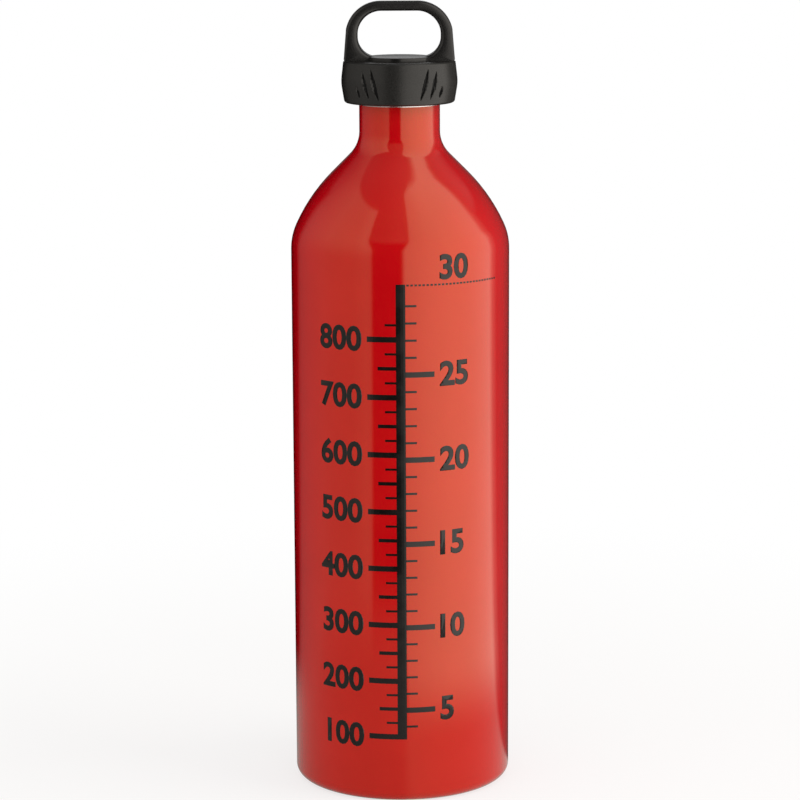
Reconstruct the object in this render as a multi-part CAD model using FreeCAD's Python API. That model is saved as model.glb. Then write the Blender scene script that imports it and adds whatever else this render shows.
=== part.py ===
import FreeCAD, Part
import math
import os

# A camping fuel bottle: a drawn metal bottle with a screw thread inside its neck, closed by a
# push-and-turn cap. The grip shell of the cap spins freely on the threaded plug until it is pushed
# down against its spring, when its drive teeth meet those of the plug.
# Millimetres. The bottle stands on z = 0 on the Z axis, and the carrying loop lies in the XZ plane.

# Bottle
body_radius = 40.0
body_wall = 1.0
base_thickness = 1.6
base_corner_radius = 4.0
standing_ring_width = 3.0
base_recess = 5.0
base_slope_width = 11.0
base_slope_radius = 8.0
standing_edge_radius = 1.5
barrel_height = 199.2
shoulder_low_radius = 21.8
shoulder_low_angle = 24.5
shoulder_high_radius = 64.7
shoulder_slope_angle = 44.9
neck_fillet_radius = 11.6
neck_radius = 14.7
neck_wall = 2.6
neck_length = 17.8
mouth_edge_radius = 0.7
mouth_bevel = 0.6
seal_bore_depth = 3.2

# Screw thread between the neck and the plug
thread_pitch = 3.0
thread_depth = 0.9
thread_crest_width = 0.7
thread_flank_angle = 30.0
thread_turns = 2.5
thread_lead_in = 1.2
thread_radial_clearance = 0.25
thread_flank_clearance = 0.2
thread_root_overlap = 0.4
groove_early_turns = 0.2
vent_slot_width = 3.0

# Seal
seal_cord_diameter = 2.0
seal_clearance = 0.05
seal_bore_step = 0.2
seal_groove_room = 0.3

# Plug
plug_wall = 2.1
plug_floor = 2.0
plug_length = 13.2
plug_tip_chamfer = 0.8
flange_thickness = 2.0
flange_gap = 0.3
plug_skirt_wall = 2.2
neck_clearance = 0.4
guide_clearance = 0.1

# Drive teeth, on top of the plug and under the plate of the grip shell
tooth_count = 12
tooth_height = 1.5
tooth_lift = 0.4
tooth_side_gap = 0.4
tooth_ramp = 1.3
tooth_ring_width = 4.0
tooth_rim_margin = 0.8

# Grip shell
plate_thickness = 2.0
shell_height = 15.2
shell_top_wall = 3.0
grip_bulge = 0.85
grip_tuck = 0.4
grip_widest_drop = 7.7
grip_waist_radius = 14.0
shell_foot_radius = 1.2
parting_chamfer = 0.5
boss_length = 4.0
boss_wall = 1.5
groove_angles = (26.0, 36.5, 46.0)
groove_lengths = (11.2, 9.7, 3.6)
groove_width = 1.4
groove_depth = 0.8
groove_slant = 15.0
groove_foot_rises = (1.9, 2.4, 2.8)

# Retaining ring
ring_thickness = 1.5
ring_groove_depth = 0.8
ring_clearance = 0.05
ring_lip = 0.8
ring_split_width = 3.0

# Return spring and thrust washer
spring_wire = 1.1
spring_turns = 5.0
spring_wall_gap = 0.5
spring_end_clearance = 0.05
washer_thickness = 0.8
washer_clearance = 0.05
boss_clearance = 0.3

# Carrying loop
loop_height = 21.4
loop_bar = 3.5
loop_leg_width = 4.5
loop_disc_thickness = 1.4
loop_side_draft = 5.0
loop_outer_radius = 13.0
loop_opening_high_radius = 8.6
loop_opening_low_radius = 7.0
loop_disc_radius = 12.0
loop_disc_edge_radius = 0.3
loop_depth_foot = 9.0
loop_depth_top = 6.6
loop_edge_radius = 1.3
tenon_thickness = 1.2
tenon_depth = 4.0
tenon_half_angle = 8.0
tenon_clearance = 0.05

ORIGIN = FreeCAD.Vector(0, 0, 0)
UP = FreeCAD.Vector(0, 0, 1)
TANGENT_TOLERANCE = 1e-6


def sine(degrees):
    return math.sin(math.radians(degrees))


def cosine(degrees):
    return math.cos(math.radians(degrees))


def tangent(degrees):
    return math.tan(math.radians(degrees))


def shoulder_corners(wall, inner_neck_radius, fillet_radius):
    """Three rounded corners that carry the barrel into the neck, set in from outside by wall."""
    low = shoulder_low_radius - wall
    high = shoulder_high_radius - wall
    low_reach = low * tangent(shoulder_low_angle / 2)
    high_reach = high * tangent((shoulder_slope_angle - shoulder_low_angle) / 2)
    first_r = body_radius - wall
    first_z = barrel_height + low_reach
    second_r = first_r - (low_reach + high_reach) * sine(shoulder_low_angle)
    second_z = first_z + (low_reach + high_reach) * cosine(shoulder_low_angle)
    third_z = second_z + (second_r - inner_neck_radius) / tangent(shoulder_slope_angle)
    return [
        (first_r, first_z, low),
        (second_r, second_z, high),
        (inner_neck_radius, third_z, fillet_radius),
    ]


# Sizes that follow from those above
fillet_reach = neck_fillet_radius * tangent(shoulder_slope_angle / 2)
mouth_z = shoulder_corners(0, neck_radius, neck_fillet_radius)[2][1] + fillet_reach + neck_length
bore_radius = neck_radius - neck_wall
plug_radius = bore_radius - thread_radial_clearance
plug_crest_radius = plug_radius + thread_depth
groove_root_radius = plug_crest_radius + thread_radial_clearance
seal_bore_radius = groove_root_radius + seal_bore_step
seal_groove_radius = seal_bore_radius - seal_cord_diameter - 2 * seal_clearance
plug_hollow_radius = seal_groove_radius - plug_wall
flange_z = mouth_z + flange_gap
flange_top_z = flange_z + flange_thickness
plug_bottom_z = flange_z - plug_length
thread_start_z = plug_bottom_z + thread_lead_in + thread_crest_width
plate_z = flange_top_z + 2 * tooth_height + tooth_lift
cap_top_z = plate_z + plate_thickness
shell_bottom_z = cap_top_z - shell_height
skirt_inner_radius = neck_radius + neck_clearance
skirt_radius = skirt_inner_radius + plug_skirt_wall
shell_inner_radius = skirt_radius + guide_clearance
cap_top_radius = shell_inner_radius + shell_top_wall
ring_z = shell_bottom_z + ring_lip
ring_top_z = ring_z + ring_thickness
tooth_outer_radius = skirt_radius - tooth_rim_margin
tooth_inner_radius = tooth_outer_radius - tooth_ring_width
spring_radius = plug_hollow_radius - spring_wall_gap - spring_wire / 2
boss_radius = spring_radius - spring_wire / 2 - boss_clearance
washer_top_z = plate_z - washer_clearance
tenon_radius = (shell_inner_radius + cap_top_radius) / 2


def point(r, z):
    return FreeCAD.Vector(r, 0, z)


def rounded_wire(corners):
    """A closed wire in the XZ plane through (x, z, radius) corners, each rounded by its radius."""
    stretches = []
    count = len(corners)
    for i, (x, z, radius) in enumerate(corners):
        here = point(x, z)
        before = point(*corners[i - 1][:2]) - here
        after = point(*corners[(i + 1) % count][:2]) - here
        before.normalize()
        after.normalize()
        half_angle = before.getAngle(after) / 2
        reach = radius / math.tan(half_angle)
        bisector = before + after
        if radius > 0:
            bisector.normalize()
            middle = here + bisector * (radius / math.sin(half_angle) - radius)
        else:
            middle = here
        stretches.append((here + before * reach, middle, here + after * reach, radius > 0))
    edges = []
    for i, (start, middle, end, is_round) in enumerate(stretches):
        last_end = stretches[i - 1][2]
        if last_end.distanceToPoint(start) > TANGENT_TOLERANCE:
            edges.append(Part.LineSegment(last_end, start).toShape())
        if is_round:
            edges.append(Part.Arc(start, middle, end).toShape())
    return Part.Wire(edges)


def turned(corners):
    """A solid of revolution about the Z axis."""
    return Part.Face(rounded_wire(corners)).revolve(ORIGIN, UP, 360)


def tube(inner_radius, outer_radius, bottom_z, top_z):
    return turned([
        (inner_radius, bottom_z, 0),
        (outer_radius, bottom_z, 0),
        (outer_radius, top_z, 0),
        (inner_radius, top_z, 0),
    ])


def ring_sector(inner_radius, outer_radius, bottom_z, top_z, half_angle, middle_angle):
    """A stretch of a ring, half_angle to each side of middle_angle."""
    wire = rounded_wire([
        (inner_radius, bottom_z, 0),
        (outer_radius, bottom_z, 0),
        (outer_radius, top_z, 0),
        (inner_radius, top_z, 0),
    ])
    sector = Part.Face(wire).revolve(ORIGIN, UP, 2 * half_angle)
    sector.rotate(ORIGIN, UP, middle_angle - half_angle)
    return sector


def biarc(start, start_way, end, end_way):
    """Two arcs with a shared tangent, from start to end, each given with its unit direction."""
    chord = end - start
    bend = 2 * (1 - start_way.dot(end_way))
    along = chord.dot(start_way + end_way)
    reach = (math.sqrt(along * along + bend * chord.dot(chord)) - along) / bend
    start_corner = start + start_way * reach
    end_corner = end - end_way * reach
    joint = (start_corner + end_corner) * 0.5
    edges = []
    for a, corner, b in ((start, start_corner, joint), (joint, end_corner, end)):
        middle = (a + b) * 0.5
        half_chord = a.distanceToPoint(b) / 2
        quarter_angle = math.acos(half_chord / reach) / 2
        lift = corner - middle
        lift.normalize()
        edges.append(Part.Arc(a, middle + lift * (half_chord * math.tan(quarter_angle)), b).toShape())
    return edges


def helix_point(radius, pitch, turn):
    """The place and the unit direction of a right-handed helix after this many turns."""
    angle = 2 * math.pi * turn
    across = radius * math.cos(angle)
    along = radius * math.sin(angle)
    way = FreeCAD.Vector(-along, across, pitch / (2 * math.pi))
    way.normalize()
    return FreeCAD.Vector(across, along, pitch * turn), way


def helix_path(radius, pitch, turns):
    """A helix from angle 0 and z = 0, as a wire of biarcs of about a quarter turn each."""
    steps = math.ceil(4 * turns)
    places = [helix_point(radius, pitch, turns * i / steps) for i in range(steps + 1)]
    edges = []
    for first, second in zip(places, places[1:]):
        edges += biarc(*first, *second)
    return Part.Wire(edges)


def thread_coil(crest_radius, clearance, early_turns, turns):
    """A trapezoid carried along the thread's helix, from early_turns before the plug's own start."""
    flank = tangent(thread_flank_angle)
    foot_radius = plug_radius - thread_root_overlap
    crest_half = thread_crest_width / 2 + clearance - (crest_radius - plug_crest_radius) * flank
    foot_half = crest_half + (crest_radius - foot_radius) * flank
    section = Part.makePolygon([
        point(foot_radius, -foot_half),
        point(crest_radius, -crest_half),
        point(crest_radius, crest_half),
        point(foot_radius, foot_half),
        point(foot_radius, -foot_half),
    ])
    sweep = Part.BRepOffsetAPI.MakePipeShell(helix_path(plug_radius, thread_pitch, turns))
    sweep.setBiNormalMode(UP)
    sweep.add(section, False, False)
    sweep.build()
    sweep.makeSolid()
    coil = sweep.shape()
    coil.rotate(ORIGIN, UP, -360 * early_turns)
    coil.translate(UP * (thread_start_z - early_turns * thread_pitch))
    return coil


def bottle_shell():
    """One turned shell: recessed base, barrel, domed shoulder and a neck threaded inside."""
    ring_inner_radius = body_radius - base_corner_radius - standing_ring_width
    dish_radius = ring_inner_radius - base_slope_width
    inner_corner_radius = base_corner_radius - base_thickness
    outside = [
        (0, base_recess, 0),
        (dish_radius, base_recess, base_slope_radius),
        (ring_inner_radius, 0, standing_edge_radius),
        (body_radius, 0, base_corner_radius),
    ]
    outside += shoulder_corners(0, neck_radius, neck_fillet_radius)
    mouth = [
        (neck_radius, mouth_z, mouth_edge_radius),
        (seal_bore_radius + mouth_bevel, mouth_z, 0),
        (seal_bore_radius, mouth_z - mouth_bevel, 0),
        (seal_bore_radius, mouth_z - seal_bore_depth, 0),
        (bore_radius, mouth_z - seal_bore_depth, 0),
    ]
    inside = shoulder_corners(body_wall, bore_radius, neck_fillet_radius)[::-1]
    inside += [
        (body_radius - body_wall, base_thickness, inner_corner_radius),
        (ring_inner_radius, base_thickness, standing_edge_radius),
        (dish_radius, base_thickness + base_recess, base_slope_radius),
        (0, base_thickness + base_recess, 0),
    ]
    shell = turned(outside + mouth + inside)
    groove_rise = mouth_z - seal_bore_depth - thread_start_z + thread_pitch
    groove_turns = groove_rise / thread_pitch + groove_early_turns
    return shell.cut(
        thread_coil(groove_root_radius, thread_flank_clearance, groove_early_turns, groove_turns)
    )


def drive_tooth(direction):
    """One tooth with an upright driving side and a ramp: up from z = 0, or down for direction -1."""
    half = math.pi * tooth_inner_radius / tooth_count / 2 - tooth_side_gap / 2
    outline = Part.makePolygon([
        FreeCAD.Vector(0, -half * direction, 0),
        FreeCAD.Vector(0, half * direction, 0),
        FreeCAD.Vector(0, (half - tooth_ramp) * direction, tooth_height * direction),
        FreeCAD.Vector(0, -half * direction, tooth_height * direction),
        FreeCAD.Vector(0, -half * direction, 0),
    ])
    return Part.Face(outline).extrude(FreeCAD.Vector(skirt_radius, 0, 0))


def drive_crown(direction, seat_z, offset_angle):
    """Drive teeth in a ring on the plane seat_z, the first one at offset_angle."""
    low_z = min(0, direction * tooth_height)
    band = tube(tooth_inner_radius, tooth_outer_radius, low_z, low_z + tooth_height)
    tooth = drive_tooth(direction).common(band)
    teeth = []
    for i in range(tooth_count):
        copy = tooth.copy()
        copy.rotate(ORIGIN, UP, offset_angle + i * 360 / tooth_count)
        copy.translate(UP * seat_z)
        teeth.append(copy)
    return teeth


def threaded_plug():
    """The inner closure: a threaded cup, a flange over the mouth and a skirt around the neck."""
    seal_groove_z = flange_z - seal_cord_diameter - 2 * seal_clearance - seal_groove_room
    skirt_bottom_z = ring_top_z + ring_clearance
    floor_z = plug_bottom_z + plug_floor
    plug = turned([
        (0, plug_bottom_z, 0),
        (plug_radius - plug_tip_chamfer, plug_bottom_z, 0),
        (plug_radius, plug_bottom_z + plug_tip_chamfer, 0),
        (plug_radius, seal_groove_z, 0),
        (seal_groove_radius, seal_groove_z, 0),
        (seal_groove_radius, flange_z, 0),
        (skirt_inner_radius, flange_z, 0),
        (skirt_inner_radius, skirt_bottom_z, 0),
        (skirt_radius, skirt_bottom_z, 0),
        (skirt_radius, flange_top_z, 0),
        (plug_hollow_radius, flange_top_z, 0),
        (plug_hollow_radius, floor_z, 0),
        (0, floor_z, 0),
    ])
    ridge = thread_coil(plug_crest_radius, 0, 0, thread_turns)
    slot_height = seal_groove_z - plug_bottom_z
    slot = Part.makeBox(
        vent_slot_width,
        plug_crest_radius,
        slot_height,
        FreeCAD.Vector(-vent_slot_width / 2, plug_radius - thread_root_overlap, plug_bottom_z),
    )
    opposite_slot = slot.copy()
    opposite_slot.rotate(ORIGIN, UP, 180)
    threaded = plug.fuse(ridge).cut(slot).cut(opposite_slot)
    return threaded.multiFuse(drive_crown(1, flange_top_z, 0)).removeSplitter()


def o_ring():
    centre_z = flange_z - seal_clearance - seal_cord_diameter / 2
    centre_radius = seal_bore_radius - seal_clearance - seal_cord_diameter / 2
    return Part.makeTorus(centre_radius, seal_cord_diameter / 2, FreeCAD.Vector(0, 0, centre_z))


def grip_corners(inset):
    """The outside of the grip shell from top to bottom, set in by inset."""
    return [
        (cap_top_radius - inset, cap_top_z - parting_chamfer, 0),
        (cap_top_radius + grip_bulge - inset, cap_top_z - grip_widest_drop, grip_waist_radius),
        (cap_top_radius - grip_tuck - inset, shell_bottom_z, shell_foot_radius),
    ]


def grip_groove(side, angle, length, foot_rise):
    """A slanted, lens-shaped prism for one grip groove; side is 1 or -1 from the front's middle."""
    middle_z = shell_bottom_z + foot_rise + length / 2
    lean = length / 2 * tangent(groove_slant) * side
    near = shell_inner_radius
    far = cap_top_radius + grip_bulge + groove_depth
    top = FreeCAD.Vector(lean, -near, middle_z + length / 2)
    bottom = FreeCAD.Vector(-lean, -near, middle_z - length / 2)
    right = FreeCAD.Vector(groove_width / 2, -near, middle_z)
    left = FreeCAD.Vector(-groove_width / 2, -near, middle_z)
    lens = Part.Wire([Part.Arc(top, right, bottom).toShape(), Part.Arc(bottom, left, top).toShape()])
    prism = Part.Face(lens).extrude(FreeCAD.Vector(0, near - far, 0))
    prism.rotate(ORIGIN, UP, angle * side)
    return prism


def cap_shell():
    """The grip shell: plate, bulging skirt with grip grooves, drive teeth and spring boss."""
    top = [(0, cap_top_z, 0), (cap_top_radius - parting_chamfer, cap_top_z, 0)]
    inside = [
        (shell_inner_radius, shell_bottom_z, 0),
        (shell_inner_radius, ring_z - ring_clearance, 0),
        (shell_inner_radius + ring_groove_depth, ring_z - ring_clearance, 0),
        (shell_inner_radius + ring_groove_depth, ring_top_z + ring_clearance, 0),
        (shell_inner_radius, ring_top_z + ring_clearance, 0),
        (shell_inner_radius, plate_z, 0),
        (0, plate_z, 0),
    ]
    shell = turned(top + grip_corners(0) + inside)
    boss = tube(boss_radius - boss_wall, boss_radius, plate_z - boss_length, plate_z)
    teeth = drive_crown(-1, plate_z, 180 / tooth_count)
    shell = shell.multiFuse([boss] + teeth).removeSplitter()
    groove_floor = turned(
        [(0, cap_top_z - parting_chamfer, 0)] + grip_corners(groove_depth) + [(0, shell_bottom_z, 0)]
    )
    cutters = []
    for turn in (0, 180):
        for side in (1, -1):
            for angle, length, foot_rise in zip(groove_angles, groove_lengths, groove_foot_rises):
                groove = grip_groove(side, angle, length, foot_rise).cut(groove_floor)
                groove.rotate(ORIGIN, UP, turn)
                cutters.append(groove)
        cutters.append(
            ring_sector(
                tenon_radius - tenon_thickness / 2 - tenon_clearance,
                tenon_radius + tenon_thickness / 2 + tenon_clearance,
                cap_top_z - tenon_depth - tenon_clearance,
                cap_top_z + tenon_clearance,
                tenon_half_angle + math.degrees(tenon_clearance / tenon_radius),
                turn,
            )
        )
    return shell.cut(cutters)


def loop_handle():
    """The carrying loop: a closed ring on a thin round disc, with a tenon under each foot.

    The ring is made with spare length under its feet, which is cut off after its edges are rounded.
    """
    lean = tangent(loop_side_draft)
    spare = 2 * loop_edge_radius
    spare_z = cap_top_z - spare
    top_z = cap_top_z + loop_height
    half_foot = cap_top_radius
    half_spare = half_foot + spare * lean
    half_top = half_foot - loop_height * lean
    opening_bottom_z = cap_top_z + loop_disc_thickness
    opening_top_z = top_z - loop_bar
    middle_rise = (opening_bottom_z + opening_top_z) / 2 - cap_top_z
    half_opening = half_foot - middle_rise * lean - loop_leg_width
    outer = rounded_wire([
        (-half_spare, spare_z, 0),
        (half_spare, spare_z, 0),
        (half_top, top_z, loop_outer_radius),
        (-half_top, top_z, loop_outer_radius),
    ])
    opening = rounded_wire([
        (-half_opening, opening_bottom_z, loop_opening_low_radius),
        (half_opening, opening_bottom_z, loop_opening_low_radius),
        (half_opening, opening_top_z, loop_opening_high_radius),
        (-half_opening, opening_top_z, loop_opening_high_radius),
    ])
    half_depth_top = loop_depth_top / 2
    half_depth_spare = loop_depth_foot / 2 + (loop_depth_foot - loop_depth_top) / 2 * spare / loop_height
    slab = Part.Face(outer).extrude(FreeCAD.Vector(0, 2 * half_depth_spare, 0))
    hole = Part.Face(opening).extrude(FreeCAD.Vector(0, 2 * half_depth_spare, 0))
    ring = slab.cut(hole)
    ring.translate(FreeCAD.Vector(0, -half_depth_spare, 0))
    taper = Part.makePolygon([
        FreeCAD.Vector(-half_spare, -half_depth_spare, spare_z),
        FreeCAD.Vector(-half_spare, half_depth_spare, spare_z),
        FreeCAD.Vector(-half_spare, half_depth_top, top_z),
        FreeCAD.Vector(-half_spare, -half_depth_top, top_z),
        FreeCAD.Vector(-half_spare, -half_depth_spare, spare_z),
    ])
    wedge = Part.Face(taper).extrude(FreeCAD.Vector(2 * half_spare, 0, 0))
    cone = turned([
        (0, spare_z, 0),
        (half_spare + parting_chamfer * lean, spare_z, 0),
        (half_top + parting_chamfer * lean, top_z, 0),
        (0, top_z, 0),
    ])
    ring = ring.common(wedge).common(cone)
    edges = []
    for face in ring.Faces:
        normal = face.normalAt(0, 0)
        if abs(normal.y) > cosine(45):
            edges += [e for e in face.Edges if e.BoundBox.ZMax > cap_top_z]
    ring = ring.makeFillet(loop_edge_radius, edges)
    chamfer_reach = parting_chamfer + loop_edge_radius
    kept = turned([
        (0, cap_top_z, 0),
        (half_foot - parting_chamfer, cap_top_z, 0),
        (half_foot - parting_chamfer + chamfer_reach, cap_top_z + chamfer_reach, 0),
        (half_foot - parting_chamfer + chamfer_reach, top_z + loop_edge_radius, 0),
        (0, top_z + loop_edge_radius, 0),
    ])
    ring = ring.common(kept)
    disc = turned([
        (0, cap_top_z, 0),
        (loop_disc_radius, cap_top_z, 0),
        (loop_disc_radius, opening_bottom_z, loop_disc_edge_radius),
        (0, opening_bottom_z, 0),
    ])
    tenons = []
    for turn in (0, 180):
        tenons.append(
            ring_sector(
                tenon_radius - tenon_thickness / 2,
                tenon_radius + tenon_thickness / 2,
                cap_top_z - tenon_depth,
                cap_top_z,
                tenon_half_angle,
                turn,
            )
        )
    return ring.multiFuse([disc] + tenons).removeSplitter()


def retaining_ring():
    """A split snap ring in the groove of the grip shell, under the skirt of the plug."""
    outer_radius = shell_inner_radius + ring_groove_depth - ring_clearance
    half_split = math.degrees(ring_split_width / 2 / outer_radius)
    return ring_sector(skirt_inner_radius, outer_radius, ring_z, ring_top_z, 180 - half_split, -90)


def thrust_washer():
    inner_radius = boss_radius + boss_clearance / 2
    outer_radius = spring_radius + spring_wire / 2
    return tube(inner_radius, outer_radius, washer_top_z - washer_thickness, washer_top_z)


def return_spring():
    """A coil of steady pitch between the floor of the plug and the thrust washer."""
    low_z = plug_bottom_z + plug_floor + spring_end_clearance + spring_wire / 2
    high_z = washer_top_z - washer_thickness - spring_end_clearance - spring_wire / 2
    pitch = (high_z - low_z) / spring_turns
    print("least gap between the spring's turns, mm:", round(pitch - spring_wire, 3))
    start, way = helix_point(spring_radius, pitch, 0)
    section = Part.Wire([Part.Circle(start, way, spring_wire / 2).toShape()])
    coil = helix_path(spring_radius, pitch, spring_turns).makePipeShell([section], True, False)
    coil.translate(UP * low_z)
    return coil


os.makedirs("parts", exist_ok=True)
for make in (
    bottle_shell,
    threaded_plug,
    o_ring,
    return_spring,
    thrust_washer,
    cap_shell,
    loop_handle,
    retaining_ring,
):
    make().exportStep("parts/" + make.__name__ + ".step")
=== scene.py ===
"""Camping fuel bottle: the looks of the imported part, laid out as a Blender add-on and run as a script.

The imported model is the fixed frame. The bottle, its level print, the grip shell, the carrying loop and
the return spring are new surfaces that stand for their nodes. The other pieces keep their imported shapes
and get a finish. Metres: the bottle stands on z = 0 on the Z axis, and its front faces -Y.
"""

import math

import bmesh
import bpy
import numpy as np
from mathutils import Matrix, Vector


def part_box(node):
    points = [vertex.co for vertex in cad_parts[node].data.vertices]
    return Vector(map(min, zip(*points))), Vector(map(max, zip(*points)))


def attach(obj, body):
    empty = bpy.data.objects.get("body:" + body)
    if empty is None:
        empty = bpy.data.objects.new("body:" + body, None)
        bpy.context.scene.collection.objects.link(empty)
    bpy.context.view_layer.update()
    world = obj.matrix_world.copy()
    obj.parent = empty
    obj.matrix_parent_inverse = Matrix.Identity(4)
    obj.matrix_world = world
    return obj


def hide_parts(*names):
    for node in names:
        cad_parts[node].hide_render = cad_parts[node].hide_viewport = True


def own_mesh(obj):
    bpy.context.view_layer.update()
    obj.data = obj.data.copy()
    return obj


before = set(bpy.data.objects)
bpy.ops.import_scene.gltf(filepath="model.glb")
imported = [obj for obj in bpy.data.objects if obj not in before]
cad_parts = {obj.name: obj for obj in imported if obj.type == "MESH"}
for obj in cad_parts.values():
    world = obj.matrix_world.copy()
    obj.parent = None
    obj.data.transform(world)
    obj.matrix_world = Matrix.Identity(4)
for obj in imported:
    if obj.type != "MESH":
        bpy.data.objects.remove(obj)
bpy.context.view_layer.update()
BOTTLE_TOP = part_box("bottle_shell")[1]
CAP_LOW, CAP_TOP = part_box("cap_shell")
LOOP_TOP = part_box("loop_handle")[1]
RING_LOW, RING_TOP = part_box("retaining_ring")
SPRING_LOW, SPRING_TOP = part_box("return_spring")
INK_HEIGHT = 0.00003
HIDDEN_STEP = 0.00001

bl_info = {
    "name": "Camping Fuel Bottle",
    "version": (1, 0, 0),
    "blender": (4, 5, 0),
    "location": "View3D > Sidebar > Fuel Bottle",
    "description": "Dresses a red fuel bottle with a push-and-turn cap and a carrying loop",
    "category": "Add Mesh",
}


def length(name, description, default):
    return bpy.props.FloatProperty(
        name=name, description=description, default=default, min=0.0, precision=5, unit="LENGTH"
    )


def slope(name, description, degrees):
    return bpy.props.FloatProperty(
        name=name, description=description, default=math.radians(degrees), subtype="ANGLE"
    )


def amount(name, description, default):
    return bpy.props.FloatProperty(name=name, description=description, default=default, min=0.0)


def count(name, description, default):
    return bpy.props.IntProperty(name=name, description=description, default=default, min=1)


def three(name, description, default, unit="LENGTH"):
    return bpy.props.FloatVectorProperty(
        name=name, description=description, default=default, size=3, unit=unit
    )


def colour(name, description, default):
    return bpy.props.FloatVectorProperty(
        name=name, description=description, default=default, size=3, min=0.0, max=1.0, subtype="COLOR"
    )


class BottleSizes(bpy.types.PropertyGroup):
    """Sizes of the drawn metal bottle."""

    body_radius: length("Body radius", "Outside radius of the painted barrel", BOTTLE_TOP.x - INK_HEIGHT)
    mouth_z: length("Mouth height", "Height of the mouth above the base", BOTTLE_TOP.z)
    wall: length("Wall", "Thickness of the body", 0.001)
    base_thickness: length("Base thickness", "Thickness of the base", 0.0016)
    base_corner: length("Base corner", "Radius between the barrel and the base", 0.004)
    standing_ring: length("Standing ring", "Width of the flat ring it stands on", 0.003)
    base_recess: length("Base recess", "Height of the dish under the base", 0.005)
    base_slope: length("Base slope", "Width of the slope up into the dish", 0.011)
    slope_radius: length("Slope radius", "Radius where the slope meets the dish", 0.008)
    standing_edge: length("Standing edge", "Radius at the inner edge of the standing ring", 0.0015)
    barrel_height: length("Barrel height", "Height at which the shoulder starts", 0.1992)
    shoulder_low_radius: length("Lower shoulder radius", "Radius of the first shoulder curve", 0.0218)
    shoulder_low_angle: slope("Lower shoulder angle", "Turn of the first shoulder curve", 24.5)
    shoulder_high_radius: length("Upper shoulder radius", "Radius of the dome", 0.0647)
    shoulder_slope: slope("Shoulder slope", "Lean of the shoulder below the neck", 44.9)
    neck_fillet: length("Neck fillet", "Radius between the shoulder and the neck", 0.0116)
    neck_radius: length("Neck radius", "Outside radius of the neck", 0.0147)
    neck_wall: length("Neck wall", "Thickness of the neck", 0.0026)
    mouth_edge: length("Mouth edge", "Radius of the outer edge of the mouth", 0.0007)
    mouth_bevel: length("Mouth bevel", "Bevel at the inner edge of the mouth", 0.0006)
    seal_bore_radius: length("Seal bore radius", "Radius of the smooth bore for the seal", 0.0132)
    seal_bore_depth: length("Seal bore depth", "Depth of the smooth bore for the seal", 0.0032)
    paint_end_z: length("Paint end", "Height on the neck at which the paint ends", 0.2518)
    thread_pitch: length("Thread pitch", "Rise of the neck thread in one turn", 0.003)
    thread_start_z: length("Thread start", "Height of the thread at the angle zero", 0.249)
    thread_depth: length("Thread depth", "Depth of the groove of the thread", 0.0009)
    thread_root: length("Thread root", "Width at the bottom of the groove", 0.00081)
    thread_mouth: length("Thread mouth", "Width of the groove at the bore", 0.00185)
    thread_early: amount("Early turns", "Turns of the groove below the thread's start", 0.2)


class PrintSizes(bpy.types.PropertyGroup):
    """Sizes of the printed level scale."""

    ink_proud: length("Ink proud", "Height of the ink over the paint", INK_HEIGHT)
    ink_sunk: length("Ink sunk", "Depth of the ink's back in the paint", 0.00002)
    strip: length("Strip", "Widest flat strip when the print is bent round the barrel", 0.001)
    sliver: length("Sliver", "Thickness below which a sliver of a number is left out", 0.000001)
    stem_width: length("Stem width", "Width of the upright stem", 0.0034)
    long_tick: length("Long tick", "Length of a numbered tick", 0.0105)
    short_tick: length("Short tick", "Length of a half tick", 0.0066)
    fine_tick: length("Fine tick", "Length of a fine tick", 0.004)
    long_stroke: length("Long stroke", "Thickness of a numbered tick", 0.002)
    short_stroke: length("Short stroke", "Thickness of a half tick", 0.0013)
    fine_stroke: length("Fine stroke", "Thickness of a fine tick", 0.0008)
    number_height: length("Number height", "Height of the numbers", 0.0084)
    number_bold: length("Number bold", "How far the strokes of the numbers are swelled", 0.0004)
    number_gap: length("Number gap", "Space between a tick and its number", 0.002)
    fill_gap: length("Fill gap", "Space between the fill line and the number over it", 0.002)
    level_base_z: length("Level base", "Height at which the scale reads zero", 0.0041)
    level_rise: length("Level rise", "Rise of the scale for 100 millilitres", 0.02093)
    ounce: amount("Ounce", "Millilitres in one fluid ounce", 29.57)
    fill_line_z: length("Fill line", "Height of the dashed fill line", 0.191)
    fill_from: slope("Fill line from", "Angle from the front where the fill line starts", 3.0)
    fill_to: slope("Fill line to", "Angle from the front where the fill line ends", 61.0)
    dash_pitch: length("Dash pitch", "Distance between the dashes of the fill line", 0.00145)
    dash: length("Dash", "Length of one dash", 0.0009)
    dash_stroke: length("Dash stroke", "Thickness of the fill line", 0.00065)


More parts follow.
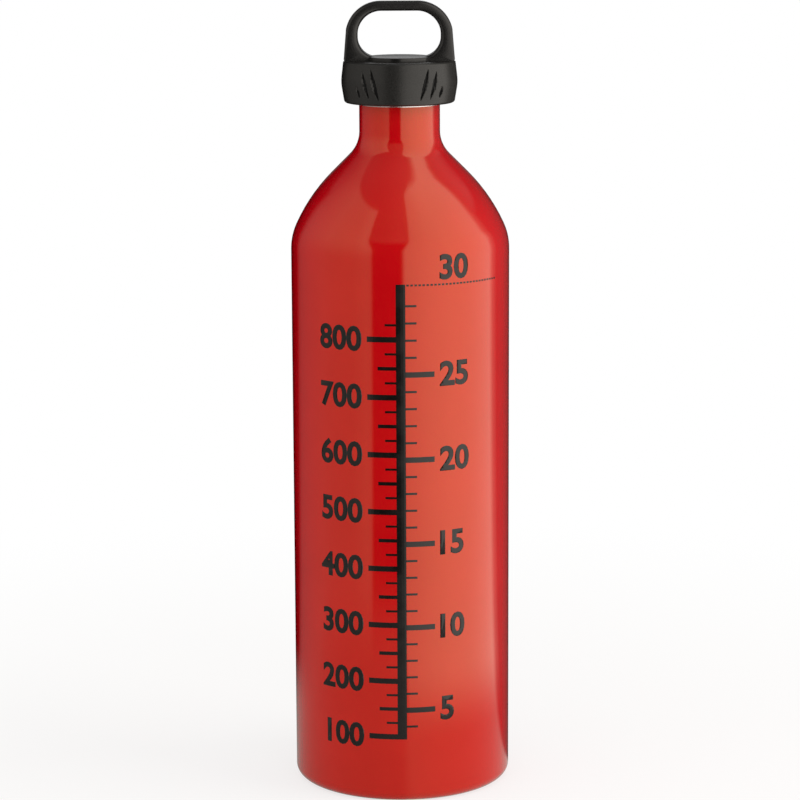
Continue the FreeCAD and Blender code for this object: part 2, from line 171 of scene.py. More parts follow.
class CapSizes(bpy.types.PropertyGroup):
    """Sizes of the grip shell of the cap."""

    top_z: length("Top", "Height of the top of the plate", CAP_TOP.z)
    bottom_z: length("Bottom", "Height of the lower edge", CAP_LOW.z)
    plate: length("Plate", "Thickness of the plate", 0.002)
    top_radius: length("Top radius", "Radius at the top edge", 0.0204)
    top_chamfer: length("Top chamfer", "Chamfer at the parting line with the loop", 0.0005)
    bulge: length("Bulge", "How far the middle stands out", 0.00085)
    tuck: length("Tuck", "How far the bottom is drawn in", 0.0004)
    widest_drop: length("Widest drop", "Distance of the widest place from the top", 0.0077)
    waist_radius: length("Waist radius", "Radius of the curve at the widest place", 0.014)
    foot_radius: length("Foot radius", "Radius of the lower edge", 0.0012)
    soft_edge: length("Soft edge", "Radius that a moulded corner has", 0.00025)
    inner_radius: length("Inner radius", "Radius of the bore that runs on the plug", 0.0174)
    ring_groove: length("Ring groove", "Depth of the groove for the retaining ring", 0.0008)
    ring_clearance: length("Ring clearance", "Play of the retaining ring", 0.00005)
    boss_radius: length("Boss radius", "Outside radius of the spring boss", 0.0071)
    boss_wall: length("Boss wall", "Thickness of the spring boss", 0.0015)
    boss_length: length("Boss length", "Length of the spring boss", 0.004)
    tooth_count: count("Teeth", "Number of drive teeth under the plate", 12)
    tooth_inner: length("Tooth inner radius", "Inner radius of the drive teeth", 0.0125)
    tooth_outer: length("Tooth outer radius", "Outer radius of the drive teeth", 0.0165)
    tooth_height: length("Tooth height", "Height of the drive teeth", 0.0015)
    tooth_ramp: length("Tooth ramp", "Length of the ramp of a drive tooth", 0.0013)
    tooth_gap: length("Tooth gap", "Side play of the drive teeth", 0.0004)
    groove_angles: three(
        "Groove angles", "Angles of the grip grooves from the front's middle",
        tuple(math.radians(a) for a in (26.0, 36.5, 46.0)), "ROTATION",
    )
    groove_lengths: three("Groove lengths", "Heights of the grip grooves", (0.0112, 0.0097, 0.0036))
    groove_width: length("Groove width", "Width of a grip groove at its middle", 0.0014)
    groove_depth: length("Groove depth", "Depth of a grip groove", 0.0008)
    groove_soft: length("Groove softness", "Width of the rounded side of a groove", 0.0004)
    groove_slant: slope("Groove slant", "Lean of the grip grooves", 15.0)
    groove_feet: three(
        "Groove feet", "Heights of the grooves' feet over the lower edge", (0.0019, 0.0024, 0.0028)
    )


class LoopSizes(bpy.types.PropertyGroup):
    """Sizes of the carrying loop."""

    top_z: length("Top", "Height of the top of the loop", LOOP_TOP.z - HIDDEN_STEP)
    bar: length("Bar", "Thickness of the upper bar", 0.0035)
    leg: length("Leg", "Width of a leg at half height", 0.0045)
    disc: length("Disc", "Thickness of the round disc on the plate", 0.0014)
    disc_radius: length("Disc radius", "Radius of the round disc", 0.012)
    disc_edge: length("Disc edge", "Radius of the edge of the disc", 0.0003)
    side_draft: slope("Side draft", "Lean of the legs", 5.0)
    outer_radius: length("Outer radius", "Radius of the upper corners", 0.013)
    opening_high: length("Opening top", "Radius of the upper corners of the opening", 0.0086)
    opening_low: length("Opening bottom", "Radius of the lower corners of the opening", 0.007)
    depth_foot: length("Depth at the foot", "Depth of the loop where it stands on the plate", 0.009)
    depth_top: length("Depth at the top", "Depth of the upper bar", 0.0066)
    edge_radius: length("Edge radius", "Radius of the edges of the loop", 0.0013)


class SpringSizes(bpy.types.PropertyGroup):
    """Sizes of the return spring."""

    wire: length("Wire", "Diameter of the wire", 0.0011)
    turns: count("Turns", "Number of turns", 5)
    push: length("Push", "How far the grip shell travels down", 0.0017)


class Finishes(bpy.types.PropertyGroup):
    """Colours of the surfaces."""

    paint: colour("Paint", "Gloss paint of the bottle", (0.52, 0.0014, 0.007))
    paint_deep: colour("Deep paint", "Paint where it lies a little thicker", (0.485, 0.001, 0.0055))
    metal: colour("Bare metal", "Bare aluminium of the mouth and the inside", (0.77, 0.78, 0.79))
    ink: colour("Ink", "Black printing ink", (0.006, 0.005, 0.0045))
    cap: colour("Cap", "Satin plastic of the grip shell", (0.0125, 0.012, 0.011))
    # Darker than the cap's plastic: painted shade in the hollows of the grip grooves.
    groove: colour("Groove", "Matt plastic in the grip grooves", (0.006, 0.006, 0.006))
    loop: colour("Loop", "Satin plastic of the carrying loop", (0.011, 0.0105, 0.01))
    plug: colour("Plug", "Moulded plastic of the threaded plug", (0.03, 0.03, 0.031))
    seal: colour("Seal", "Rubber of the seal", (0.014, 0.014, 0.014))
    wire: colour("Wire", "Drawn steel of the spring", (0.62, 0.61, 0.59))
    washer: colour("Washer", "Natural plastic of the thrust washer", (0.74, 0.72, 0.66))
    ring: colour("Ring", "Plastic of the retaining ring", (0.024, 0.024, 0.025))


class StudioSettings(bpy.types.PropertyGroup):
    """The floor, the lights and the camera."""

    floor: colour("Floor", "Pale floor", (0.93, 0.93, 0.93))
    ambient: amount("Ambient", "Even light from all round", 0.71)
    key: amount("Key light", "Power of the softbox on the right", 18.5)
    fill: amount("Fill light", "Power of the softbox on the left", 3.75)
    top: amount("Top light", "Power of the softbox above the camera", 2.6)
    camera_distance: length("Camera distance", "Distance of the camera in front of the axis", 1.071)
    camera_height: length("Camera height", "Height of the camera", 0.3417)
    camera_pitch: slope("Camera pitch", "How far the camera looks down", 10.542)
    camera_roll: slope("Camera roll", "Turn of the camera about its view", -0.265)
    lens: amount("Lens", "Focal length in millimetres on a 36 mm sensor", 132.39)
    shift_x: bpy.props.FloatProperty(
        name="Shift", description="Sideways shift of the picture", default=-0.0011
    )


FULL_TURN = 2 * math.pi
FRONT = -math.pi / 2
SAME_POINT = 1e-7
SHARP_DEGREES, SHARP_LOOP_DEGREES = 32, 40


def unit(vector):
    return vector / np.linalg.norm(vector)


def smooth_step(share):
    """0 below 0, 1 above 1 and 3 s^2 - 2 s^3 between them."""
    s = np.clip(share, 0, 1)
    return s * s * (3 - 2 * s)


def turn_between(angles, middle):
    """The signed turn from middle to each angle, the short way round."""
    return (angles - middle + math.pi) % FULL_TURN - math.pi


def circle(steps, start=0.0):
    """Even angles once round, from the given share of a step."""
    return (np.arange(steps) + start) / steps * FULL_TURN


def rounded_profile(corners, arc_step, run_step):
    """Points along the straight runs between (r, z, radius) corners, each corner rounded.

    A corner of radius R whose two sides meet at the angle 2 h becomes the arc about the point at
    R / sin h along the bisector. It touches the sides at R / tan h from the corner. Runs are divided
    evenly.
    """
    corners = np.array(corners, float)
    stretches = [corners[:1, :2]]
    for before, here, after in zip(corners, corners[1:], corners[2:]):
        back = unit(before[:2] - here[:2])
        onward = unit(after[:2] - here[:2])
        half = math.acos(np.clip(back @ onward, -1, 1)) / 2
        arc = here[None, :2]
        if here[2] > 0:
            centre = here[:2] + unit(back + onward) * here[2] / math.sin(half)
            reach = here[2] / math.tan(half)
            sweep = math.pi - 2 * half
            share = np.linspace(0, 1, math.ceil(sweep / arc_step) + 1)[:, None]
            first = here[:2] + back * reach - centre
            last = here[:2] + onward * reach - centre
            swung = np.sin((1 - share) * sweep) * first + np.sin(share * sweep) * last
            arc = centre + swung / math.sin(sweep)
        stretches.append(even_run(stretches[-1][-1], arc[0], run_step))
        stretches.append(arc)
    stretches.append(even_run(stretches[-1][-1], corners[-1, :2], run_step))
    stretches.append(corners[-1:, :2])
    points = np.concatenate(stretches)
    steps = np.linalg.norm(np.diff(points, axis=0), axis=1)
    return points[np.concatenate([[True], steps > SAME_POINT])]


def even_run(first, last, step):
    """The points that divide a straight run evenly, without its two ends."""
    pieces = max(1, math.ceil(np.linalg.norm(last - first) / step))
    share = np.linspace(0, 1, pieces + 1)[1:-1, None]
    return first + (last - first) * share


def turned_grid(radii, heights, angles):
    """A surface of revolution: x = r cos a, y = r sin a, z = z for each row's r and z and each angle a."""
    parts = np.broadcast_arrays(radii * np.cos(angles), radii * np.sin(angles), heights)
    return np.stack(parts, axis=-1)


def skin(grid, poles=(None, None), wrap_rows=False):
    """Vertices and faces of a skin over grid[row, column].

    The columns always run all the way round. The rows do too with wrap_rows, and otherwise an end of
    them that has a pole is closed by a fan of triangles to it. The faces are turned so that the enclosed
    volume, the sum of a . (b x c) / 6 over the triangles, is positive.
    """
    rows, columns = grid.shape[:2]
    index = np.arange(rows * columns).reshape(rows, columns)
    vertices = grid.reshape(-1, 3)
    around = np.concatenate([index, index[:1]]) if wrap_rows else index
    beside = np.roll(around, -1, axis=1)
    quads = np.stack([around[:-1], beside[:-1], beside[1:], around[1:]], axis=-1).reshape(-1, 4)
    fans = [np.zeros((0, 3), int)]
    for pole, row, near, far in ((poles[0], 0, beside, around), (poles[1], -1, around, beside)):
        if pole is not None:
            tip = np.full(columns, len(vertices))
            vertices = np.concatenate([vertices, np.array(pole, float)[None]])
            fans.append(np.stack([near[row], far[row], tip], axis=-1))
    fans = np.concatenate(fans)
    triangles = np.concatenate([quads[:, [0, 1, 2]], quads[:, [0, 2, 3]], fans])
    a, b, c = (vertices[triangles[:, i]] for i in range(3))
    if np.sum(a * np.cross(b, c)) < 0:
        quads, fans = quads[:, ::-1], fans[:, ::-1]
    return vertices, quads.tolist() + fans.tolist()


def shade_smooth(mesh, sharp_degrees=SHARP_DEGREES):
    """Shade a mesh smooth, except across edges sharper than sharp_degrees."""
    mesh.polygons.foreach_set("use_smooth", np.ones(len(mesh.polygons), bool))
    mesh.set_sharp_from_angle(angle=math.radians(sharp_degrees))
    mesh.update()
    return mesh


def plain_mesh(name, vertices, faces):
    mesh = bpy.data.meshes.new(name)
    mesh.from_pydata(vertices.tolist(), [], faces)
    return mesh


def smooth_mesh(name, vertices, faces):
    return shade_smooth(plain_mesh(name, vertices, faces))


def add_carrier(context, data):
    """An object that carries data for a while, so that Blender can work on it."""
    carrier = bpy.data.objects.new(data.name, data)
    context.scene.collection.objects.link(carrier)
    return carrier


def finished_mesh(context, carrier):
    """The mesh that a carrier's curve or modifiers make."""
    context.view_layer.update()
    return bpy.data.meshes.new_from_object(carrier.evaluated_get(context.evaluated_depsgraph_get()))


def points_of(mesh):
    """The places of a mesh's vertices as an array."""
    flat = np.empty(len(mesh.vertices) * 3, np.float32)
    mesh.vertices.foreach_get("co", flat)
    return flat.reshape(-1, 3)


def joined_mesh(context, name, first, second, operation):
    """One closed skin of two meshes that meet: the UNION of both, or the room where they INTERSECT."""
    carriers = [add_carrier(context, mesh) for mesh in (first, second)]
    join = carriers[0].modifiers.new("Join", "BOOLEAN")
    join.operation = operation
    join.solver = "EXACT"
    join.object = carriers[1]
    mesh = finished_mesh(context, carriers[0])
    for part in (first, second):
        bpy.data.meshes.remove(part)
    mesh.name = name
    return mesh


def add_piece(name, mesh, body, materials):
    """A new piece at the origin that moves with its body."""
    piece = bpy.data.objects.new(name, mesh)
    bpy.context.scene.collection.objects.link(piece)
    for material in materials:
        mesh.materials.append(material)
    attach(piece, body)
    return piece


def dress_node(node, material):
    """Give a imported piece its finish."""
    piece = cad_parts[node]
    if not piece.material_slots:
        piece.data.materials.append(material)
    for slot in piece.material_slots:
        slot.material = material


def feed(tree, target, value):
    """Link a socket to target, or set target to a plain value."""
    if isinstance(value, bpy.types.NodeSocket):
        tree.links.new(value, target)
    else:
        target.default_value = value


def add_node(tree, kind, inputs=(), **settings):
    """Add a shader node with its settings and its inputs, by name or place, and give its outputs."""
    node = tree.nodes.new("ShaderNode" + kind)
    for name, value in settings.items():
        setattr(node, name, value)
    for socket, value in dict(inputs).items():
        feed(tree, node.inputs[socket], value)
    return node.outputs


def maths(tree, operation, *values):
    return add_node(tree, "Math", enumerate(values), operation=operation)[0]


def ranged(tree, value, low, high, to_low=0.0, to_high=1.0):
    """Carry value smoothly from low..high to to_low..to_high, and keep it within them."""
    values = enumerate((value, low, high, to_low, to_high))
    return add_node(tree, "MapRange", values, interpolation_type="SMOOTHSTEP")[0]


def mixed(tree, share, first, second, blend="MIX"):
    """A colour between first and second, or their blend, from the Mix node's places for colours."""
    inputs = {0: share, 6: first, 7: second}
    return add_node(tree, "Mix", inputs, data_type="RGBA", blend_type=blend)[2]


def solid(colour_value, gain=1.0):
    """A colour as a shader socket takes it, made lighter or darker by gain."""
    return (*(min(1.0, part * gain) for part in colour_value), 1.0)


def object_place(tree, stretch=(1.0, 1.0, 1.0)):
    """The place on the piece itself, stretched along its axes."""
    place = add_node(tree, "TexCoord")["Object"]
    return add_node(tree, "Mapping", {"Vector": place, "Scale": stretch})["Vector"]


def noise(tree, place, scale, detail=2.0, rough=0.5):
    inputs = {"Vector": place, "Scale": scale, "Detail": detail, "Roughness": rough}
    return add_node(tree, "TexNoise", inputs)[0]


def new_group(name, inputs, outputs):
    """An empty shader group, the values that it is given and the sockets of its results."""
    group = bpy.data.node_groups.new(name, "ShaderNodeTree")
    for socket, default in inputs.items():
        made = group.interface.new_socket(socket, in_out="INPUT", socket_type="NodeSocketFloat")
        made.default_value = default
    for socket, kind in outputs.items():
        group.interface.new_socket(socket, in_out="OUTPUT", socket_type="NodeSocket" + kind)
    given, result = group.nodes.new("NodeGroupInput"), group.nodes.new("NodeGroupOutput")
    return group, given.outputs, result.inputs


def mottle_group():
    """Slow, cloudy change of tone between 0 and 1, as in paint, ink and moulded plastic."""
    name = "Slow Mottle"
    if name in bpy.data.node_groups:
        return bpy.data.node_groups[name]
    group, given, result = new_group(name, {"Scale": 40.0}, {"Tone": "Float"})
    place = object_place(group)
    broad = noise(group, place, given["Scale"], detail=1.0)
    fine = noise(group, place, maths(group, "MULTIPLY", given["Scale"], 5.0), detail=3.0)
    parts = maths(group, "MULTIPLY", broad, 0.7), maths(group, "MULTIPLY", fine, 0.3)
    feed(group, result["Tone"], ranged(group, maths(group, "ADD", *parts), 0.32, 0.68))
    return group


def grain_group():
    """Fine sparkle of a mould's eroded surface: small pits in a soft grain, as a height and as a tone."""
    name = "Moulded Grain"
    if name in bpy.data.node_groups:
        return bpy.data.node_groups[name]
    group, given, result = new_group(name, {"Scale": 2500.0}, {"Height": "Float", "Tone": "Float"})
    place = object_place(group)
    soft = noise(group, place, given["Scale"], rough=0.6)
    spread = maths(group, "MULTIPLY", given["Scale"], 0.8)
    cells = add_node(group, "TexVoronoi", {"Vector": place, "Scale": spread}, feature="SMOOTH_F1")
    pits = ranged(group, cells["Distance"], 0.1, 0.6)
    parts = maths(group, "MULTIPLY", soft, 0.6), maths(group, "MULTIPLY", pits, 0.4)
    feed(group, result["Height"], maths(group, "ADD", *parts))
    feed(group, result["Tone"], ranged(group, soft, 0.3, 0.7))
    return group


def scuff_group():
    """Faint rub marks: thin streaks that run round the piece, in a few patches."""
    name = "Handling Scuffs"
    if name in bpy.data.node_groups:
        return bpy.data.node_groups[name]
    group, given, result = new_group(name, {"Scale": 120.0, "Cover": 0.5}, {"Mask": "Float"})
    streaks = noise(group, object_place(group, (1.0, 1.0, 14.0)), given["Scale"], detail=3.0)
    patches = noise(group, object_place(group), maths(group, "MULTIPLY", given["Scale"], 0.4))
    low = maths(group, "SUBTRACT", 0.75, maths(group, "MULTIPLY", given["Cover"], 0.2))
    lines = ranged(group, streaks, low, maths(group, "ADD", low, 0.08))
    feed(group, result["Mask"], maths(group, "MULTIPLY", lines, ranged(group, patches, 0.5, 0.65)))
    return group


def use_group(tree, group, **values):
    """Place a shared group in a material with its own values."""
    return add_node(tree, "Group", values, node_tree=group)


def new_material(name, mottle):
    """A new material with its nodes and a slow mottle of the given scale."""
    material = bpy.data.materials.new(name)
    material.use_nodes = True
    tree = material.node_tree
    return material, tree, use_group(tree, mottle_group(), Scale=mottle)["Tone"]


def set_shader(tree, values):
    """Link or set the inputs of a material's shader."""
    shader = tree.nodes["Principled BSDF"]
    for socket, value in values.items():
        feed(tree, shader.inputs[socket], value)


def toned(tree, tone, base, low, high):
    """A colour that is lighter or darker with the tone, from low to high times base."""
    return mixed(tree, tone, solid(base, low), solid(base, high))


def bumped(tree, height, distance, strength):
    """The normals of a surface with that height."""
    inputs = {"Height": height, "Distance": distance, "Strength": strength}
    return add_node(tree, "Bump", inputs)["Normal"]


def paint_material(finishes):
    """Gloss paint: a deep red under a clear gloss, a slight orange peel, rubbed where it stands."""
    material, tree, tone = new_material("red_gloss_paint", mottle=28.0)
    scuffs = use_group(tree, scuff_group(), Scale=260.0, Cover=0.9)["Mask"]
    height = add_node(tree, "SeparateXYZ", {"Vector": object_place(tree)})["Z"]
    rub_low, rub_high = 0.0003, 0.0022
    rubbed = maths(tree, "MULTIPLY", ranged(tree, height, rub_low, rub_high, 1.0, 0.0), scuffs)
    red = mixed(tree, tone, solid(finishes.paint_deep), solid(finishes.paint))
    gloss = ranged(tree, tone, 0.0, 1.0, 0.1, 0.14)
    peel = noise(tree, object_place(tree), 420.0, detail=1.0)
    set_shader(tree, {
        "Base Color": mixed(tree, rubbed, red, solid(finishes.metal, 0.8)),
        "Roughness": maths(tree, "ADD", gloss, maths(tree, "MULTIPLY", rubbed, 0.4)),
        "Specular Tint": (1.0, 0.8, 0.0, 1.0),
        "Coat Weight": 1.0,
        "Coat Roughness": 0.04,
        "Normal": bumped(tree, peel, distance=0.00006, strength=0.1),
    })
    return material


def metal_material(finishes):
    """Bare aluminium with the fine rings that turning leaves."""
    material, tree, tone = new_material("bare_aluminium", mottle=90.0)
    rings = noise(tree, object_place(tree, (0.02, 0.02, 1.0)), 9000.0)
    set_shader(tree, {
        "Base Color": toned(tree, tone, finishes.metal, 0.9, 1.0),
        "Roughness": ranged(tree, rings, 0.3, 0.7, 0.24, 0.4),
        "Metallic": 1.0,
        "Normal": bumped(tree, rings, distance=0.00002, strength=0.4),
    })
    return material


def ink_material(finishes):
    """Black screen print, a little less glossy than the paint, thin in places."""
    material, tree, tone = new_material("black_ink", mottle=160.0)
    set_shader(tree, {
        "Base Color": toned(tree, tone, finishes.ink, 1.0, 1.7),
        "Roughness": ranged(tree, tone, 0.0, 1.0, 0.13, 0.2),
    })
    return material


def plastic_material(name, base, smooth, rough, grain, relief, cover, mirror=0.5):
    """Moulded plastic: fine eroded grain, a slight mottle and a few rubbed, shinier streaks.

    Its roughness goes from smooth to rough with the grain, which has a scale and a relief. Cover says
    how much is rubbed, and mirror how strongly it reflects.
    """
    material, tree, tone = new_material(name, mottle=120.0)
    pits = use_group(tree, grain_group(), Scale=grain)
    scuffs = use_group(tree, scuff_group(), Scale=420.0, Cover=cover)["Mask"]
    body = toned(tree, tone, base, 0.88, 1.12)
    matt = ranged(tree, pits["Tone"], 0.0, 1.0, smooth, rough)
    set_shader(tree, {
        "Base Color": mixed(tree, scuffs, body, solid(base, 1.7)),
        "Roughness": maths(tree, "SUBTRACT", matt, maths(tree, "MULTIPLY", scuffs, 0.1)),
        "Specular IOR Level": mirror,
        "Normal": bumped(tree, pits["Height"], distance=0.00004, strength=relief),
    })
    return material


def rubber_material(finishes):
    """Smooth black rubber with a faint bloom."""
    material, tree, tone = new_material("seal_rubber", mottle=220.0)
    grain = use_group(tree, grain_group(), Scale=3800.0)
    set_shader(tree, {
        "Base Color": toned(tree, tone, finishes.seal, 1.0, 2.0),
        "Roughness": ranged(tree, tone, 0.0, 1.0, 0.52, 0.66),
        "Normal": bumped(tree, grain["Height"], distance=0.00002, strength=0.2),
    })
    return material


def wire_material(finishes):
    """Bright drawn wire with fine dull patches."""
    material, tree, tone = new_material("spring_wire", mottle=400.0)
    scratches = noise(tree, object_place(tree), 5200.0)
    set_shader(tree, {
        "Base Color": toned(tree, tone, finishes.wire, 0.82, 1.0),
        "Roughness": ranged(tree, tone, 0.0, 1.0, 0.18, 0.32),
        "Metallic": 1.0,
        "Normal": bumped(tree, scratches, distance=0.00001, strength=0.3),
    })
    return material


def shoulder_corners(sizes, wall, neck_radius):
    """The three rounded corners that carry the barrel into the neck, set in from outside by wall."""
    low = sizes.shoulder_low_radius - wall
    high = sizes.shoulder_high_radius - wall
    low_reach = low * math.tan(sizes.shoulder_low_angle / 2)
    high_reach = high * math.tan((sizes.shoulder_slope - sizes.shoulder_low_angle) / 2)
    first_r = sizes.body_radius - wall
    first_z = sizes.barrel_height + low_reach
    second_r = first_r - (low_reach + high_reach) * math.sin(sizes.shoulder_low_angle)
    second_z = first_z + (low_reach + high_reach) * math.cos(sizes.shoulder_low_angle)
    third_z = second_z + (second_r - neck_radius) / math.tan(sizes.shoulder_slope)
    return [
        (first_r, first_z, low),
        (second_r, second_z, high),
        (neck_radius, third_z, sizes.neck_fillet),
    ]


# Turns of finely stepped bore below the thread's start, and its steps in one pitch.
TURNS_BELOW, STEPS_IN_PITCH = 1.5, 16


def bottle_profiles(sizes):
    """The painted outside from the middle of the base to the neck, and the bare metal from there inwards.

    The bare metal is the mouth, the stretch of bore that carries the thread, in fine steps from its top
    downwards, and the inside of the body.
    """
    fine, coarse = math.radians(3), 0.006
    ring_inner = sizes.body_radius - sizes.base_corner - sizes.standing_ring
    dish = ring_inner - sizes.base_slope
    inner_z = sizes.base_thickness
    bore = sizes.neck_radius - sizes.neck_wall
    bore_top = sizes.mouth_z - sizes.seal_bore_depth
    thread_foot = sizes.thread_start_z - TURNS_BELOW * sizes.thread_pitch
    painted = rounded_profile(
        [
            (0, sizes.base_recess, 0),
            (dish, sizes.base_recess, sizes.slope_radius),
            (ring_inner, 0, sizes.standing_edge),
            (sizes.body_radius, 0, sizes.base_corner),
            *shoulder_corners(sizes, 0, sizes.neck_radius),
            (sizes.neck_radius, sizes.paint_end_z, 0),
        ],
        fine, coarse,
    )
    mouth = rounded_profile(
        [
            (sizes.neck_radius, sizes.paint_end_z, 0),
            (sizes.neck_radius, sizes.mouth_z, sizes.mouth_edge),
            (sizes.seal_bore_radius + sizes.mouth_bevel, sizes.mouth_z, 0),
            (sizes.seal_bore_radius, sizes.mouth_z - sizes.mouth_bevel, 0),
            (sizes.seal_bore_radius, bore_top, 0),
            (bore, bore_top, 0),
        ],
        fine * 4, coarse,
    )
    inside = rounded_profile(
        [
            (bore, thread_foot, 0),
            *shoulder_corners(sizes, sizes.wall, bore)[::-1],
            (sizes.body_radius - sizes.wall, inner_z, sizes.base_corner - inner_z),
            (ring_inner, inner_z, sizes.standing_edge),
            (dish, inner_z + sizes.base_recess, sizes.slope_radius),
            (0, inner_z + sizes.base_recess, 0),
        ],
        fine * 3, coarse * 3,
    )
    threaded = even_run(mouth[-1], inside[0], sizes.thread_pitch / STEPS_IN_PITCH)
    return painted, mouth, threaded, inside


def thread_depths(sizes, angles, heights):
    """Depth of the neck's thread at each height and angle.

    The groove's middle lies at start + pitch * turns, with turns = angle / 360 degrees + a whole number.
    Its depth falls from full, at half the root's width from the middle, to nothing at half the mouth's.
    """
    turns = angles / FULL_TURN
    climbed = (heights - sizes.thread_start_z) / sizes.thread_pitch
    nearest = np.round(climbed - turns) + turns
    away = np.abs(climbed - nearest) * sizes.thread_pitch
    wall = (sizes.thread_mouth / 2 - away) / (sizes.thread_mouth - sizes.thread_root) * 2
    return sizes.thread_depth * np.clip(wall, 0, 1) * (nearest >= -sizes.thread_early)


class FUELBOTTLE_OT_bottle(bpy.types.Operator):
    """Turn the red bottle with its recessed base, domed shoulder and threaded neck"""

    bl_idname = "fuelbottle.bottle"
    bl_label = "Bottle"
    columns = 256

    def execute(self, context):
        sizes = context.scene.fuel_bottle
        finishes = context.scene.fuel_bottle_finishes
        painted, mouth, threaded, inside = bottle_profiles(sizes)
        angles = circle(self.columns)
        profile = np.concatenate([painted[1:], mouth[1:], threaded, inside[:-1]])
        radii = np.repeat(profile[:, :1], self.columns, axis=1)
        thread_row = len(painted) + len(mouth) - 2
        thread_rows = slice(thread_row, thread_row + len(threaded))
        radii[thread_rows] += thread_depths(sizes, angles, threaded[:, 1:])
        poles = ((0, 0, painted[0, 1]), (0, 0, inside[-1, 1]))
        vertices, faces = skin(turned_grid(radii, profile[:, 1:], angles), poles)
        mesh = smooth_mesh("bottle", vertices, faces)
        # The fan under the base, last but one, is painted as well.
        painted_rows = len(painted) - 2
        is_bare = np.zeros(len(faces), np.int32)
        is_bare[painted_rows * self.columns:] = 1
        is_bare[-2 * self.columns:-self.columns] = 0
        mesh.polygons.foreach_set("material_index", is_bare)
        piece = add_piece("bottle", mesh, "bottle", [paint_material(finishes), metal_material(finishes)])
        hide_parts("bottle_shell")
        return {"FINISHED"}


# Numbers of the scale: millilitres on its left and fluid ounces on its right, the last of which stands over
# the fill line. A digit's height is a share of the size of the type, and its curves have a few steps.
MILLILITRES = np.arange(100, 900, 100)
OUNCES, FIRST_FINE_OUNCE, LAST_OUNCE = np.arange(5, 30, 5), 4, 30
DIGIT_SHARE, DIGIT_STEPS = 0.7, 4


def level_height(sizes, millilitres):
    """Height on the barrel at which the scale reads so many millilitres. 100 ml is one level rise."""
    return sizes.level_base_z + sizes.level_rise * millilitres / 100


def print_bars(sizes, radius):
    """Corners (left, bottom, right, top) of every bar of the flat print: stem, ticks and dashes.

    Across is the arc length from the front's middle, and up is the height.
    """
    half = sizes.stem_width / 2

    def ticks(millilitres, reach, stroke, side):
        levels = level_height(sizes, millilitres)
        near = np.full(len(levels), side * half)
        far = near + side * reach
        left, right = np.minimum(near, far), np.maximum(near, far)
        return np.stack([left, levels - stroke / 2, right, levels + stroke / 2], axis=-1)

    halves = MILLILITRES[:-1] + 50
    quarters = np.arange(MILLILITRES[0] + 25, MILLILITRES[-1] + 50, 50)
    fine_ounces = np.setdiff1d(np.arange(FIRST_FINE_OUNCE, LAST_OUNCE), OUNCES)
    stem_low = level_height(sizes, MILLILITRES[0]) - sizes.long_stroke / 2
    stem_high = sizes.fill_line_z + sizes.dash_stroke / 2
    dashes = np.arange(int((sizes.fill_to - sizes.fill_from) * radius / sizes.dash_pitch))
    dash_left = sizes.fill_from * radius + dashes * sizes.dash_pitch
    dash_low = np.full(len(dashes), sizes.fill_line_z - sizes.dash_stroke / 2)
    return np.concatenate([
        [[-half, stem_low, half, stem_high]],
        ticks(MILLILITRES, sizes.long_tick, sizes.long_stroke, -1),
        ticks(halves, sizes.short_tick, sizes.short_stroke, -1),
        ticks(quarters, sizes.fine_tick, sizes.fine_stroke, -1),
        ticks(OUNCES * sizes.ounce, sizes.long_tick, sizes.long_stroke, 1),
        ticks(fine_ounces * sizes.ounce, sizes.fine_tick, sizes.fine_stroke, 1),
        np.stack([dash_left, dash_low, dash_left + sizes.dash, dash_low + sizes.dash_stroke], axis=-1),
    ])


def number_mesh(context, text, sizes, edge, middle, side):
    """A flat number whose edge next to the tick lies at edge, centred on the height middle."""
    letters = bpy.data.curves.new("number", "FONT")
    letters.body = text
    letters.size = sizes.number_height / DIGIT_SHARE
    letters.offset = sizes.number_bold
    letters.resolution_u = DIGIT_STEPS
    mesh = finished_mesh(context, add_carrier(context, letters))
    bpy.data.curves.remove(letters)
    flat = points_of(mesh)
    low, high = flat.min(axis=0), flat.max(axis=0)
    shift_x = edge - (low[0] if side > 0 else high[0])
    shift_y = middle - (low[1] + high[1]) / 2
    mesh.vertices.foreach_set("co", (flat + np.array([shift_x, shift_y, 0], np.float32)).ravel())
    return mesh


